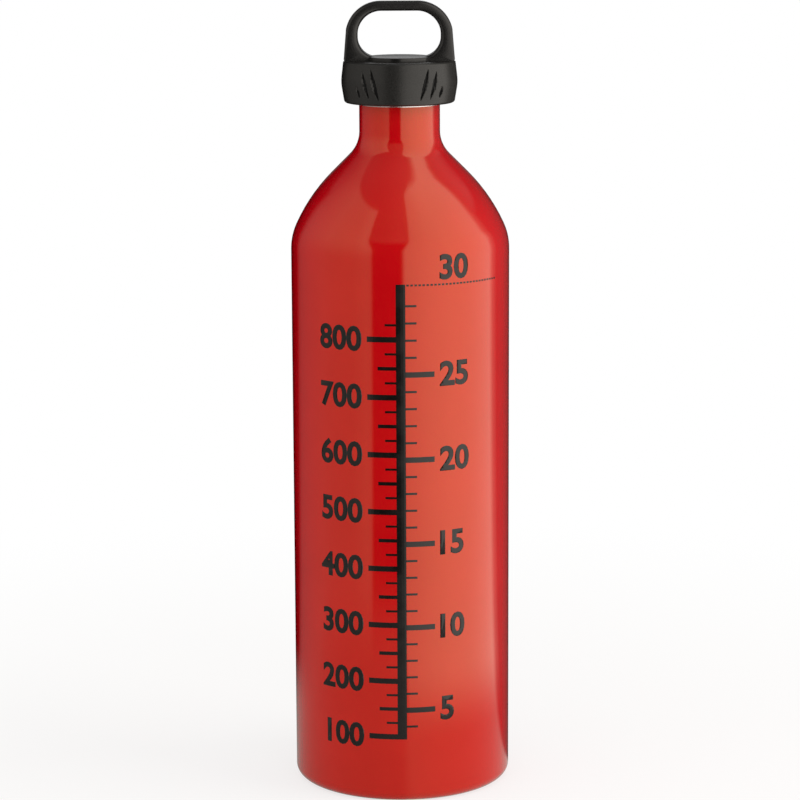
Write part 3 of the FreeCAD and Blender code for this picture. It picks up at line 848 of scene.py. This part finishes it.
class FUELBOTTLE_OT_print(bpy.types.Operator):
    """Print the level scale, its plain numbers and the dashed fill line on the barrel"""

    bl_idname = "fuelbottle.level_print"
    bl_label = "Level print"

    def execute(self, context):
        sizes = context.scene.fuel_bottle_print
        radius = context.scene.fuel_bottle.body_radius
        left, low, right, high = print_bars(sizes, radius).T
        flat = np.zeros_like(left)
        corners = [left, low, flat, right, low, flat, right, high, flat, left, high, flat]
        bars = np.stack(corners, axis=-1).reshape(-1, 3)
        sheet = plain_mesh("level_print", bars, np.arange(len(bars)).reshape(-1, 4).tolist())
        work = bmesh.new()
        work.from_mesh(sheet)
        edge = sizes.stem_width / 2 + sizes.long_tick + sizes.number_gap
        numbers = [(value, level_height(sizes, value), -1) for value in MILLILITRES.tolist()]
        numbers += [(value, level_height(sizes, value * sizes.ounce), 1) for value in OUNCES.tolist()]
        numbers.append((LAST_OUNCE, sizes.fill_line_z + sizes.fill_gap + sizes.number_height / 2, 1))
        for value, middle, side in numbers:
            number = number_mesh(context, str(value), sizes, side * edge, middle, side)
            work.from_mesh(number)
            bpy.data.meshes.remove(number)
        bmesh.ops.dissolve_degenerate(work, dist=sizes.sliver, edges=work.edges[:])
        work.to_mesh(sheet)
        steps = math.ceil(np.abs(points_of(sheet)[:, 0]).max() / sizes.strip)
        for cut in np.arange(-steps, steps + 1) * sizes.strip:
            everything = work.verts[:] + work.edges[:] + work.faces[:]
            bmesh.ops.bisect_plane(work, geom=everything, plane_co=(cut, 0, 0), plane_no=(1, 0, 0))
        work.to_mesh(sheet)
        work.free()
        across, up = points_of(sheet)[:, :2].T
        # Bent round the barrel: x = R sin(s / R), y = -R cos(s / R), z = up.
        outer = radius + sizes.ink_proud
        turn = across / radius
        bent = np.stack([outer * np.sin(turn), -outer * np.cos(turn), up], axis=-1)
        sheet.vertices.foreach_set("co", bent.ravel())
        sheet.update()
        finish = ink_material(context.scene.fuel_bottle_finishes)
        piece = add_piece("level_print", sheet, "bottle", [finish])
        thickness = piece.modifiers.new("Ink thickness", "SOLIDIFY")
        thickness.thickness = sizes.ink_proud + sizes.ink_sunk
        thickness.offset = -1.0
        return {"FINISHED"}


def cap_profile(sizes):
    """Profile of the grip shell from the middle of the plate's underside, round the skirt, to its top.

    It returns the points with two masks: those on the drive teeth and those on the grip.
    """
    under = sizes.top_z - sizes.plate
    boss_inner = sizes.boss_radius - sizes.boss_wall
    boss_low = under - sizes.boss_length
    bore = sizes.inner_radius
    groove = bore + sizes.ring_groove
    groove_top = RING_TOP.z + sizes.ring_clearance
    groove_low = RING_LOW.z - sizes.ring_clearance
    tooth_wall, flat_margin = 0.00002, 0.002
    fine, short = math.radians(6), 0.00026
    inside = np.array([
        (0, under), (boss_inner, under), (boss_inner, boss_low), (sizes.boss_radius, boss_low),
        (sizes.boss_radius, under), (sizes.tooth_inner - tooth_wall, under), (sizes.tooth_inner, under),
        (sizes.tooth_outer, under), (sizes.tooth_outer + tooth_wall, under), (bore, under),
        (bore, groove_top), (groove, groove_top), (groove, groove_low), (bore, groove_low),
    ])
    outside = rounded_profile(
        [
            (bore, sizes.bottom_z, 0),
            (sizes.top_radius - sizes.tuck, sizes.bottom_z, sizes.foot_radius),
            (sizes.top_radius + sizes.bulge, sizes.top_z - sizes.widest_drop, sizes.waist_radius),
            (sizes.top_radius, sizes.top_z - sizes.top_chamfer, sizes.soft_edge),
            (sizes.top_radius - sizes.top_chamfer, sizes.top_z, sizes.soft_edge),
            (0, sizes.top_z, 0),
        ],
        fine, short,
    )
    # The flat of the plate needs no fine rows.
    is_flat = outside[:, 1] > sizes.top_z - SAME_POINT
    is_flat &= outside[:, 0] < sizes.top_radius - flat_margin
    plate = [(sizes.top_radius / 2, sizes.top_z), (0, sizes.top_z)]
    profile = np.concatenate([inside, outside[~is_flat], plate])
    is_under = profile[:, 1] == under
    on_teeth = is_under & np.isin(profile[:, 0], (sizes.tooth_inner, sizes.tooth_outer))
    on_grip = np.arange(len(profile)) >= len(inside)
    return profile, on_teeth, on_grip


def tooth_drops(sizes, angles, radii):
    """Drop of the drive teeth below the plate: upright on the driving side, a ramp on the other."""
    pitch = FULL_TURN / sizes.tooth_count
    half = pitch * sizes.tooth_inner / 4 - sizes.tooth_gap / 2
    along = radii * ((angles % pitch) - pitch / 2)
    ramp = np.clip((along + half) / sizes.tooth_ramp, 0, 1)
    return sizes.tooth_height * ramp * (along <= half)


def groove_depths(sizes, angles, heights, radii):
    """Depth of the grip grooves: slanted lenses whose half width is (w / 2)(1 - u^2).

    u runs from -1 to 1 up the groove, whose middle line leans by its slant. The side of a groove is a
    smooth step as wide as its softness, a third of which lies outside that half width.
    """
    depth = np.zeros(np.broadcast_shapes(angles.shape, heights.shape))
    for back in (0.0, math.pi):
        for side in (1, -1):
            for middle, tall, foot in zip(sizes.groove_angles, sizes.groove_lengths, sizes.groove_feet):
                middle_z = sizes.bottom_z + foot + tall / 2
                up = (heights - middle_z) / (tall / 2)
                across = radii * turn_between(angles, FRONT + back + side * middle)
                lean = side * math.tan(sizes.groove_slant) * tall / 2 * up
                half = sizes.groove_width / 2 * (1 - up * up) + sizes.groove_soft / 3
                share = (half - np.abs(across - lean)) / sizes.groove_soft
                depth = np.maximum(depth, smooth_step(share) * (np.abs(up) < 1))
    return sizes.groove_depth * depth


class FUELBOTTLE_OT_grip_shell(bpy.types.Operator):
    """Mould the grip shell of the cap with its grooves, drive teeth and spring boss"""

    bl_idname = "fuelbottle.grip_shell"
    bl_label = "Grip shell"
    columns = 720

    def execute(self, context):
        sizes = context.scene.fuel_bottle_cap
        profile, on_teeth, on_grip = cap_profile(sizes)
        angles = circle(self.columns)
        radii = np.repeat(profile[:, :1], self.columns, axis=1)
        heights = np.repeat(profile[:, 1:], self.columns, axis=1)
        heights[on_teeth] -= tooth_drops(sizes, angles, radii[on_teeth])
        depths = np.zeros_like(radii)
        depths[on_grip] = groove_depths(sizes, angles, heights[on_grip], radii[on_grip])
        grid = turned_grid(radii - depths, heights, angles)
        vertices, faces = skin(grid[1:-1], (grid[0, 0], grid[-1, 0]))
        mesh = smooth_mesh("grip_shell", vertices, faces)
        # A face takes the darker, matt groove plastic, which is painted shade in the groove's hollow, where
        # the mean depth of its four corners is over half.
        beside = depths[1:-1] + np.roll(depths[1:-1], -1, axis=1)
        sunk = (beside[:-1] + beside[1:]) / 4 > sizes.groove_depth / 2
        groove_shade_faces = np.zeros(len(faces), np.int32)
        groove_shade_faces[:sunk.size] = sunk.ravel()
        mesh.polygons.foreach_set("material_index", groove_shade_faces)
        finishes = context.scene.fuel_bottle_finishes
        satin = plastic_material(
            "cap_satin_plastic", finishes.cap, smooth=0.27, rough=0.38, grain=2600.0, relief=0.3, cover=0.5
        )
        # Darker and matt: painted shade in the hollows of the grip grooves.
        matt = plastic_material(
            "groove_matt_plastic", finishes.groove, smooth=0.5, rough=0.6, grain=2600.0, relief=0.3,
            cover=0.2, mirror=0.22,
        )
        piece = add_piece("grip_shell", mesh, "grip", [satin, matt])
        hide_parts("cap_shell")
        return {"FINISHED"}


def loop_outlines(sizes, cap):
    """Outer outline and opening of the loop as dense (x, z) points, each once round from its lower middle.

    The feet run on below the plate by a spare length, which is cut off once their edges are rounded.
    """
    draft = math.tan(sizes.side_draft)
    spare = 2 * sizes.edge_radius
    foot_z = cap.top_z - spare
    half_foot = cap.top_radius + spare * draft
    half_top = cap.top_radius - (sizes.top_z - cap.top_z) * draft
    low, high = cap.top_z + sizes.disc, sizes.top_z - sizes.bar
    half = cap.top_radius - ((low + high) / 2 - cap.top_z) * draft - sizes.leg
    fine, short = math.radians(0.5), 0.0001
    outer = rounded_profile(
        [
            (0, foot_z, 0), (half_foot, foot_z, 0), (half_top, sizes.top_z, sizes.outer_radius),
            (-half_top, sizes.top_z, sizes.outer_radius), (-half_foot, foot_z, 0), (0, foot_z, 0),
        ],
        fine, short,
    )
    sunk = low - HIDDEN_STEP
    opening = rounded_profile(
        [
            (0, sunk, 0), (half, sunk, sizes.opening_low), (half, high, sizes.opening_high),
            (-half, high, sizes.opening_high), (-half, sunk, sizes.opening_low), (0, sunk, 0),
        ],
        fine, short,
    )
    return outer, opening


def distance_by_angle(outline, centre_z, angles):
    """How far an outline lies from the loop's centre in each direction."""
    across, up = outline[:-1, 0], outline[:-1, 1] - centre_z
    return np.interp(angles, np.arctan2(up, across), np.hypot(across, up), period=FULL_TURN)


def turned_block(name, corners, columns):
    """A solid of revolution from (r, z, radius) corners, the first and the last of them on the axis.

    It starts half a step round, so that the edges of two blocks, one of half as many columns, lie apart.
    """
    arc_step, undivided = math.radians(15), 1.0
    profile = rounded_profile(corners, arc_step, undivided)
    grid = turned_grid(profile[:, :1], profile[:, 1:], circle(columns, 0.5))
    return plain_mesh(name, *skin(grid[1:-1], (grid[0, 0], grid[-1, 0])))


class FUELBOTTLE_OT_carrying_loop(bpy.types.Operator):
    """Mould the closed carrying loop on its thin round disc"""

    bl_idname = "fuelbottle.carrying_loop"
    bl_label = "Carrying loop"
    rows = 360
    arc_points = 7
    disc_columns = 180

    def execute(self, context):
        # A rounded rectangle carried round the loop: in each direction from the centre it spans from the
        # opening to the outer outline, with rounded edges, and in depth it follows the loop's taper.
        sizes = context.scene.fuel_bottle_loop
        cap = context.scene.fuel_bottle_cap
        outer, opening = loop_outlines(sizes, cap)
        disc_z = cap.top_z + sizes.disc
        centre_z = (disc_z + sizes.top_z - sizes.bar) / 2
        angles = circle(self.rows)[:, None] - math.pi
        far = distance_by_angle(outer, centre_z, angles)
        near = distance_by_angle(opening, centre_z, angles)
        edge = sizes.edge_radius
        quarter = np.linspace(0, math.pi / 2, self.arc_points)
        around = np.concatenate([quarter + k * math.pi / 2 for k in range(4)])
        out_sign = np.repeat([1, -1, -1, 1], self.arc_points)
        deep_sign = np.repeat([1, 1, -1, -1], self.arc_points)
        reach = (far + near) / 2 + out_sign * ((far - near) / 2 - edge) + edge * np.cos(around)
        x = reach * np.cos(angles)
        z = centre_z + reach * np.sin(angles)
        rise = (z - cap.top_z) / (sizes.top_z - cap.top_z)
        depth = sizes.depth_foot + (sizes.depth_top - sizes.depth_foot) * rise
        y = deep_sign * (depth / 2 - edge) + edge * np.sin(around)
        # The sides follow the round top of the grip shell. The disc is joined to the feet, and both are
        # cut off on the plate, with a chamfer at the parting line.
        cone = cap.top_radius - (z - cap.top_z) * math.tan(sizes.side_draft)
        limit = np.sqrt(cone * cone - y * y)
        grid = np.stack([np.clip(x, -limit, limit), y, z], axis=-1)
        loop = plain_mesh("loop", *skin(grid, wrap_rows=True))
        foot, wide = cap.top_radius - cap.top_chamfer, cap.top_radius + edge
        over = sizes.top_z + edge
        room = turned_block("room", [
            (0, cap.top_z, 0), (foot, cap.top_z, 0), (wide, cap.top_z + wide - foot, 0), (wide, over, 0),
            (0, over, 0),
        ], self.rows)
        disc = turned_block("disc", [
            (0, cap.top_z - edge, 0), (sizes.disc_radius, cap.top_z - edge, 0),
            (sizes.disc_radius, disc_z, sizes.disc_edge), (0, disc_z, 0),
        ], self.disc_columns)
        whole = joined_mesh(context, "whole_loop", loop, disc, "UNION")
        mesh = joined_mesh(context, "carrying_loop", whole, room, "INTERSECT")
        shade_smooth(mesh, SHARP_LOOP_DEGREES)
        base = context.scene.fuel_bottle_finishes.loop
        finish = plastic_material(
            "loop_satin_plastic", base, smooth=0.17, rough=0.25, grain=3000.0, relief=0.15, cover=0.6
        )
        piece = add_piece("carrying_loop", mesh, "grip", [finish])
        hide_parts("loop_handle")
        return {"FINISHED"}


class FUELBOTTLE_OT_spring(bpy.types.Operator):
    """Wind the return spring that lifts the grip shell off the drive teeth"""

    bl_idname = "fuelbottle.spring"
    bl_label = "Return spring"
    steps_per_turn = 48
    wire_points = 14

    def execute(self, context):
        # A circle carried along a helix: its centre is (R cos a, R sin a, z0 + p a / 360 degrees), and it
        # lies in the plane of the radial direction and of the one square to that and to the path.
        sizes = context.scene.fuel_bottle_spring
        wire = sizes.wire / 2
        radius = SPRING_TOP.x - wire
        low, high = SPRING_LOW.z + wire, SPRING_TOP.z - wire
        a = np.linspace(0, sizes.turns * FULL_TURN, sizes.turns * self.steps_per_turn + 1)[:, None]
        rise = (high - low) / (sizes.turns * FULL_TURN)
        outward = np.concatenate([np.cos(a), np.sin(a), 0 * a], axis=-1)
        onward = np.concatenate([-radius * np.sin(a), radius * np.cos(a), rise + 0 * a], axis=-1)
        onward /= np.linalg.norm(onward, axis=-1, keepdims=True)
        upward = np.cross(outward, onward)
        centre = radius * outward + np.array([0, 0, 1]) * (low + rise * a)
        around = circle(self.wire_points)[:, None]
        ring = wire * np.cos(around), wire * np.sin(around)
        grid = centre[:, None] + outward[:, None] * ring[0] + upward[:, None] * ring[1]
        vertices, faces = skin(grid, (centre[0], centre[-1]))
        finish = wire_material(context.scene.fuel_bottle_finishes)
        piece = add_piece("return_coil", smooth_mesh("return_coil", vertices, faces), "plug", [finish])
        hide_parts("return_spring")
        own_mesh(piece)
        return {"FINISHED"}


class FUELBOTTLE_OT_inner_pieces(bpy.types.Operator):
    """Finish the plug, the seal, the thrust washer and the retaining ring"""

    bl_idname = "fuelbottle.inner_pieces"
    bl_label = "Inner pieces"

    def execute(self, context):
        finishes = context.scene.fuel_bottle_finishes
        plug = plastic_material(
            "plug_plastic", finishes.plug, smooth=0.4, rough=0.52, grain=2200.0, relief=0.3, cover=0.4
        )
        washer = plastic_material(
            "washer_plastic", finishes.washer, smooth=0.34, rough=0.42, grain=1500.0, relief=0.1, cover=0.2
        )
        ring = plastic_material(
            "ring_plastic", finishes.ring, smooth=0.38, rough=0.5, grain=2400.0, relief=0.3, cover=0.4
        )
        dress_node("threaded_plug", plug)
        dress_node("o_ring", rubber_material(finishes))
        dress_node("thrust_washer", washer)
        dress_node("retaining_ring", ring)
        return {"FINISHED"}


# Panels of light all round the bottle, as (degrees from the front, brightness). The dark gaps give the
# paint its dark stripe near the middle and its deep edges. The near levels are those of the ground beside
# the bottle.
PANEL_LEVELS = (
    (-180, 0.0), (-139, 0.0), (-129, 0.075), (-115, 0.125), (-88, 0.22), (-50, 0.25), (-35, 0.32),
    (-31, 0.3), (-28, 0.0), (1, 0.0), (5, 0.7), (32, 0.92), (52, 1.0), (88, 0.97), (106, 0.9),
    (112, 0.3), (120, 0.08), (138, 0.05), (180, 0.0),
)
NEAR_LEVELS = (
    (-180, 0.02), (-158, 0.03), (-138, 0.16), (-120, 0.19), (0, 0.19), (7, 0.3), (106, 0.29),
    (112, 0.05), (180, 0.02),
)
PANEL_TINT, PANEL_STRENGTH = (1.0, 0.95, 0.88), 1.58
# Spans over which the light changes, ACROSS and in HEIGHT in metres and in TURN in degrees from the front,
# with the values at their ends.
CEILING_ACROSS, CEILING_LEVELS = (-0.5, 0.3), (0.1, 0.17)
TOP_ACROSS, PANEL_TOPS, TOP_SOFTNESS = (-0.2, 0.2), (1.36, 1.54), 0.04
HAZE_TURN, HAZE_HEIGHT = (120, 150), (0.8, 1.0)
GAIN_ACROSS, GAIN_HEIGHT, LEFT_GAIN = (-0.4, 0.0), (0.0, 0.9), 0.65
SPLIT_TURN, PANEL_CENTRES = (-13, -11), (-88 / 360 + 0.5, 58 / 360 + 0.5)
TAPER_HEIGHT, PANEL_TAPER = (0.5, 1.1), 1.15
SIDE_TURN, SIDE_REACHES = (-105, -75), (0.15, 0.3)
RIGHT_TURN, RIGHT_REACH, REACH_FADE = (0, 8), 0.16, (0.7, 1.4)
BACKDROP_TURN, BACKDROP_LEVEL = (160, 178), 0.37
BACKDROP_FOOT_HEIGHT, BACKDROP_HEAD_HEIGHT = (0.2, 0.56), (0.6, 1.0)
# The shadow that the floor keeps: its share close to the bottle, and the distances over which it fades.
SHADOW_SHARE, SHADOW_FADE = 0.28, (0.12, 0.45)
WHITE, AMBIENT_TINT = (1.0, 1.0, 1.0, 1.0), (1.0, 0.97, 0.94, 1.0)
FLOOR_RINGS, STAGE_COLUMNS = (0.0, 0.2, 1.0, 4.0), 96
TENT_RADIUS, TENT_STEPS, TENT_CROWN = 1.6, 24, 88
GROUND_STEPS, GROUND_START, GROUND_OVERLAP, GROUND_Z = 12, 0.1, 1.05, -0.001
REFLECTED_ONLY = ("camera", "diffuse", "shadow", "transmission", "volume_scatter")
# Softboxes by the name of their power: tint, place, width and height. All look at the same point.
SOFTBOXES = {
    "key": ((1.0, 0.97, 0.94), (1.48, -0.4, 0.6), 1.3, 1.4),
    "fill": ((1.0, 0.98, 0.96), (-1.3, -0.7, 0.55), 1.3, 1.4),
    "top": ((1.0, 0.98, 0.96), (0.0, -1.2, 1.3), 1.4, 1.0),
}
SOFTBOX_TARGET = Vector((0, 0, 0.14))
SENSOR_WIDTH, CLIP_START, CLIP_END = 36.0, 0.01, 20.0


def level_ramp(tree, share, levels):
    """A tinted grey that follows the levels once round, share 0 to 1."""
    ramp = tree.nodes.new("ShaderNodeValToRGB")
    tree.links.new(share, ramp.inputs["Fac"])
    stops = ramp.color_ramp.elements
    while len(stops) < len(levels):
        stops.new(0.5)
    for stop, (degrees, level) in zip(stops, levels):
        stop.position = degrees / 360 + 0.5
        stop.color = (*(level * part for part in PANEL_TINT), 1.0)
    return ramp.outputs["Color"]


def panel_group():
    """Light of the panels by the direction from the bottle.

    Far is the light of the panels. They grow narrower with height, are stronger on the left higher up
    and end under a dim ceiling, whose haze fills the gaps between their tops. Near is the light of the
    ground beside the bottle, Reach how far that ground reaches, and Behind a mask of the backdrop.
    """
    outputs = {"Far": "Color", "Near": "Color", "Reach": "Float", "Behind": "Float"}
    group, _, result = new_group("Light Panels", {}, outputs)
    place = add_node(group, "SeparateXYZ", {"Vector": object_place(group)})
    across, height = place["X"], place["Z"]
    turn = maths(group, "ARCTAN2", across, maths(group, "MULTIPLY", place["Y"], -1.0))
    share = maths(group, "ADD", maths(group, "DIVIDE", turn, FULL_TURN), 0.5)
    aside = maths(group, "ABSOLUTE", turn)

    def by_turn(angle, span, *ends):
        return ranged(group, angle, *map(math.radians, span), *ends)

    ceiling = ranged(group, across, *CEILING_ACROSS, *CEILING_LEVELS)
    upward = ranged(group, height, *HAZE_HEIGHT)
    fill = maths(group, "MULTIPLY", by_turn(aside, HAZE_TURN, 1.0, 0.0), upward)
    haze = maths(group, "MULTIPLY", ceiling, fill)
    leftward = ranged(group, across, *GAIN_ACROSS, LEFT_GAIN, 0.0)
    gain = maths(group, "MULTIPLY_ADD", leftward, ranged(group, height, *GAIN_HEIGHT), 1.0)
    centre = by_turn(turn, SPLIT_TURN, *PANEL_CENTRES)
    grown = ranged(group, height, *TAPER_HEIGHT, 1.0, PANEL_TAPER)
    leaned = maths(group, "MULTIPLY_ADD", maths(group, "SUBTRACT", share, centre), grown, centre)
    panels = mixed(group, 1.0, level_ramp(group, leaned, PANEL_LEVELS), gain, "MULTIPLY")
    lit = mixed(group, 1.0, panels, haze, "LIGHTEN")
    top = ranged(group, across, *TOP_ACROSS, *PANEL_TOPS)
    over = ranged(group, height, top, maths(group, "ADD", top, TOP_SOFTNESS))
    beside = by_turn(turn, SIDE_TURN, *SIDE_REACHES)
    foot = ranged(group, height, *BACKDROP_FOOT_HEIGHT)
    backdrop = maths(group, "MULTIPLY", foot, ranged(group, height, *BACKDROP_HEAD_HEIGHT, 1.0, 0.0))
    feed(group, result["Far"], mixed(group, over, lit, ceiling))
    feed(group, result["Near"], level_ramp(group, share, NEAR_LEVELS))
    feed(group, result["Reach"], by_turn(turn, RIGHT_TURN, beside, RIGHT_REACH))
    feed(group, result["Behind"], maths(group, "MULTIPLY", by_turn(aside, BACKDROP_TURN), backdrop))
    return group


def bare_material(name):
    """A new material without any nodes."""
    material = bpy.data.materials.new(name)
    material.use_nodes = True
    material.node_tree.nodes.clear()
    return material, material.node_tree


def from_middle(tree):
    """How far a place is from the middle of the stage."""
    return add_node(tree, "VectorMath", {0: object_place(tree)}, operation="LENGTH")["Value"]


def tent_light(tree, around):
    """Panels of soft light and a pale backdrop."""
    return mixed(tree, around["Behind"], around["Far"], solid([BACKDROP_LEVEL] * 3))


def ground_light(tree, around):
    """The same panels on the ground, fading into its own level near the bottle."""
    first, last = (maths(tree, "MULTIPLY", around["Reach"], share) for share in REACH_FADE)
    return mixed(tree, ranged(tree, from_middle(tree), first, last), around["Near"], around["Far"])


def glow_material(name, panels, light):
    """A surface that only gives light, that of the panels."""
    material, tree = bare_material(name)
    inputs = {"Color": light(tree, use_group(tree, panels)), "Strength": PANEL_STRENGTH}
    add_node(tree, "OutputMaterial", {"Surface": add_node(tree, "Emission", inputs)[0]})
    return material


def show_or_light(tree, shown, lighting, output):
    """Use one shader for camera, glossy and transmission rays, and the other for those that light."""
    path = add_node(tree, "LightPath")
    seen = maths(tree, "MAXIMUM", path["Is Camera Ray"], path["Is Glossy Ray"])
    seen = maths(tree, "MAXIMUM", seen, path["Is Transmission Ray"])
    either = add_node(tree, "MixShader", {"Fac": seen, 1: lighting, 2: shown})[0]
    add_node(tree, output, {"Surface": either})


def floor_material(studio):
    """Pale floor that looks white far off and keeps the bottle's soft shadow near it."""
    material, tree = bare_material("pale_floor")
    matt = add_node(tree, "BsdfDiffuse", {"Color": solid(studio.floor)})[0]
    glow = add_node(tree, "Emission", {"Color": WHITE, "Strength": 1.0})[0]
    shadow = ranged(tree, from_middle(tree), *SHADOW_FADE, SHADOW_SHARE, 0.0)
    shown = add_node(tree, "MixShader", {"Fac": shadow, 1: glow, 2: matt})[0]
    show_or_light(tree, shown, matt, "OutputMaterial")
    return material


def light_world(world, studio):
    """White where the camera, a reflection or glass sees it, and an even grey for lighting."""
    world.use_nodes = True
    tree = world.node_tree
    tree.nodes.clear()
    even = add_node(tree, "Background", {"Color": AMBIENT_TINT, "Strength": studio.ambient})[0]
    white = add_node(tree, "Background", {"Color": WHITE, "Strength": 1.0})[0]
    show_or_light(tree, white, even, "OutputWorld")


def add_stage(name, radii, heights, material, hidden):
    """A turned surface of the stage, from its middle outwards, that some kinds of rays don't see."""
    rows = np.reshape(radii, (-1, 1)), np.reshape(heights, (-1, 1))
    grid = turned_grid(*rows, circle(STAGE_COLUMNS))
    mesh = plain_mesh(name, *skin(grid[1:], (grid[0, 0], None)))
    mesh.materials.append(material)
    stage = bpy.data.objects.new(name, mesh)
    bpy.context.scene.collection.objects.link(stage)
    for ray in hidden:
        setattr(stage, "visible_" + ray, False)


def add_softbox(name, power, tint, place, width, height):
    """A large soft lamp that lights the bottle but isn't mirrored in it."""
    lamp = bpy.data.lights.new(name, "AREA")
    lamp.shape = "RECTANGLE"
    lamp.size, lamp.size_y = width, height
    lamp.energy = power
    lamp.color = tint
    softbox = bpy.data.objects.new(name, lamp)
    bpy.context.scene.collection.objects.link(softbox)
    softbox.location = place
    softbox.rotation_euler = (SOFTBOX_TARGET - Vector(place)).to_track_quat("-Z", "Y").to_euler()
    softbox.visible_camera = False
    softbox.visible_glossy = False


def add_camera(scene, studio):
    """The camera in front of the bottle, above it and looking down."""
    lens = bpy.data.cameras.new("camera")
    lens.sensor_width = SENSOR_WIDTH
    lens.lens = studio.lens
    lens.shift_x = studio.shift_x
    lens.clip_start, lens.clip_end = CLIP_START, CLIP_END
    camera = bpy.data.objects.new("camera", lens)
    scene.collection.objects.link(camera)
    look = Matrix.Rotation(math.pi / 2 - studio.camera_pitch, 4, "X")
    roll = Matrix.Rotation(studio.camera_roll, 4, "Z")
    place = Matrix.Translation((0, -studio.camera_distance, studio.camera_height))
    camera.matrix_world = place @ look @ roll
    scene.camera = camera


class FUELBOTTLE_OT_studio(bpy.types.Operator):
    """Set up the pale floor, the soft light and the camera"""

    bl_idname = "fuelbottle.studio"
    bl_label = "Studio"

    def execute(self, context):
        scene = context.scene
        studio = scene.fuel_bottle_studio
        scene.view_settings.view_transform = "Standard"
        add_stage("floor", FLOOR_RINGS, -HIDDEN_STEP, floor_material(studio), ["glossy"])
        panels = panel_group()
        rise = np.radians([90, *np.linspace(TENT_CROWN, 0, TENT_STEPS)])
        dome = TENT_RADIUS * np.cos(rise), TENT_RADIUS * np.sin(rise)
        tent = glow_material("light_tent", panels, tent_light)
        add_stage("light_tent", *dome, tent, REFLECTED_ONLY)
        rings = [0, *np.linspace(GROUND_START, TENT_RADIUS * GROUND_OVERLAP, GROUND_STEPS)]
        ground = glow_material("light_tent_ground", panels, ground_light)
        add_stage("tent_ground", rings, GROUND_Z, ground, REFLECTED_ONLY)
        for name, (tint, place, width, height) in SOFTBOXES.items():
            add_softbox(name + "_softbox", getattr(studio, name), tint, place, width, height)
        if scene.world is None:
            scene.world = bpy.data.worlds.new("studio_world")
        light_world(scene.world, studio)
        add_camera(scene, studio)
        return {"FINISHED"}


class FUELBOTTLE_PT_pieces(bpy.types.Panel):
    """Lists the pieces of the bottle"""

    bl_idname = "FUELBOTTLE_PT_pieces"
    bl_label = "Fuel Bottle"
    bl_space_type = "VIEW_3D"
    bl_region_type = "UI"
    bl_category = "Fuel Bottle"

    def draw(self, context):
        for maker in OPERATORS:
            self.layout.operator(maker.bl_idname)


SETTINGS = {
    "fuel_bottle": BottleSizes,
    "fuel_bottle_print": PrintSizes,
    "fuel_bottle_cap": CapSizes,
    "fuel_bottle_loop": LoopSizes,
    "fuel_bottle_spring": SpringSizes,
    "fuel_bottle_finishes": Finishes,
    "fuel_bottle_studio": StudioSettings,
}
OPERATORS = (
    FUELBOTTLE_OT_bottle,
    FUELBOTTLE_OT_print,
    FUELBOTTLE_OT_grip_shell,
    FUELBOTTLE_OT_carrying_loop,
    FUELBOTTLE_OT_spring,
    FUELBOTTLE_OT_inner_pieces,
    FUELBOTTLE_OT_studio,
)


def register():
    for kind in (*SETTINGS.values(), *OPERATORS, FUELBOTTLE_PT_pieces):
        bpy.utils.register_class(kind)
    for name, kind in SETTINGS.items():
        setattr(bpy.types.Scene, name, bpy.props.PointerProperty(type=kind))


def unregister():
    for name in SETTINGS:
        delattr(bpy.types.Scene, name)
    for kind in (FUELBOTTLE_PT_pieces, *OPERATORS[::-1], *list(SETTINGS.values())[::-1]):
        bpy.utils.unregister_class(kind)


def main():
    register()
    bpy.ops.fuelbottle.bottle()
    bpy.ops.fuelbottle.level_print()
    bpy.ops.fuelbottle.grip_shell()
    bpy.ops.fuelbottle.carrying_loop()
    bpy.ops.fuelbottle.spring()
    bpy.ops.fuelbottle.inner_pieces()
    bpy.ops.fuelbottle.studio()


if __name__ == "__main__":
    main()
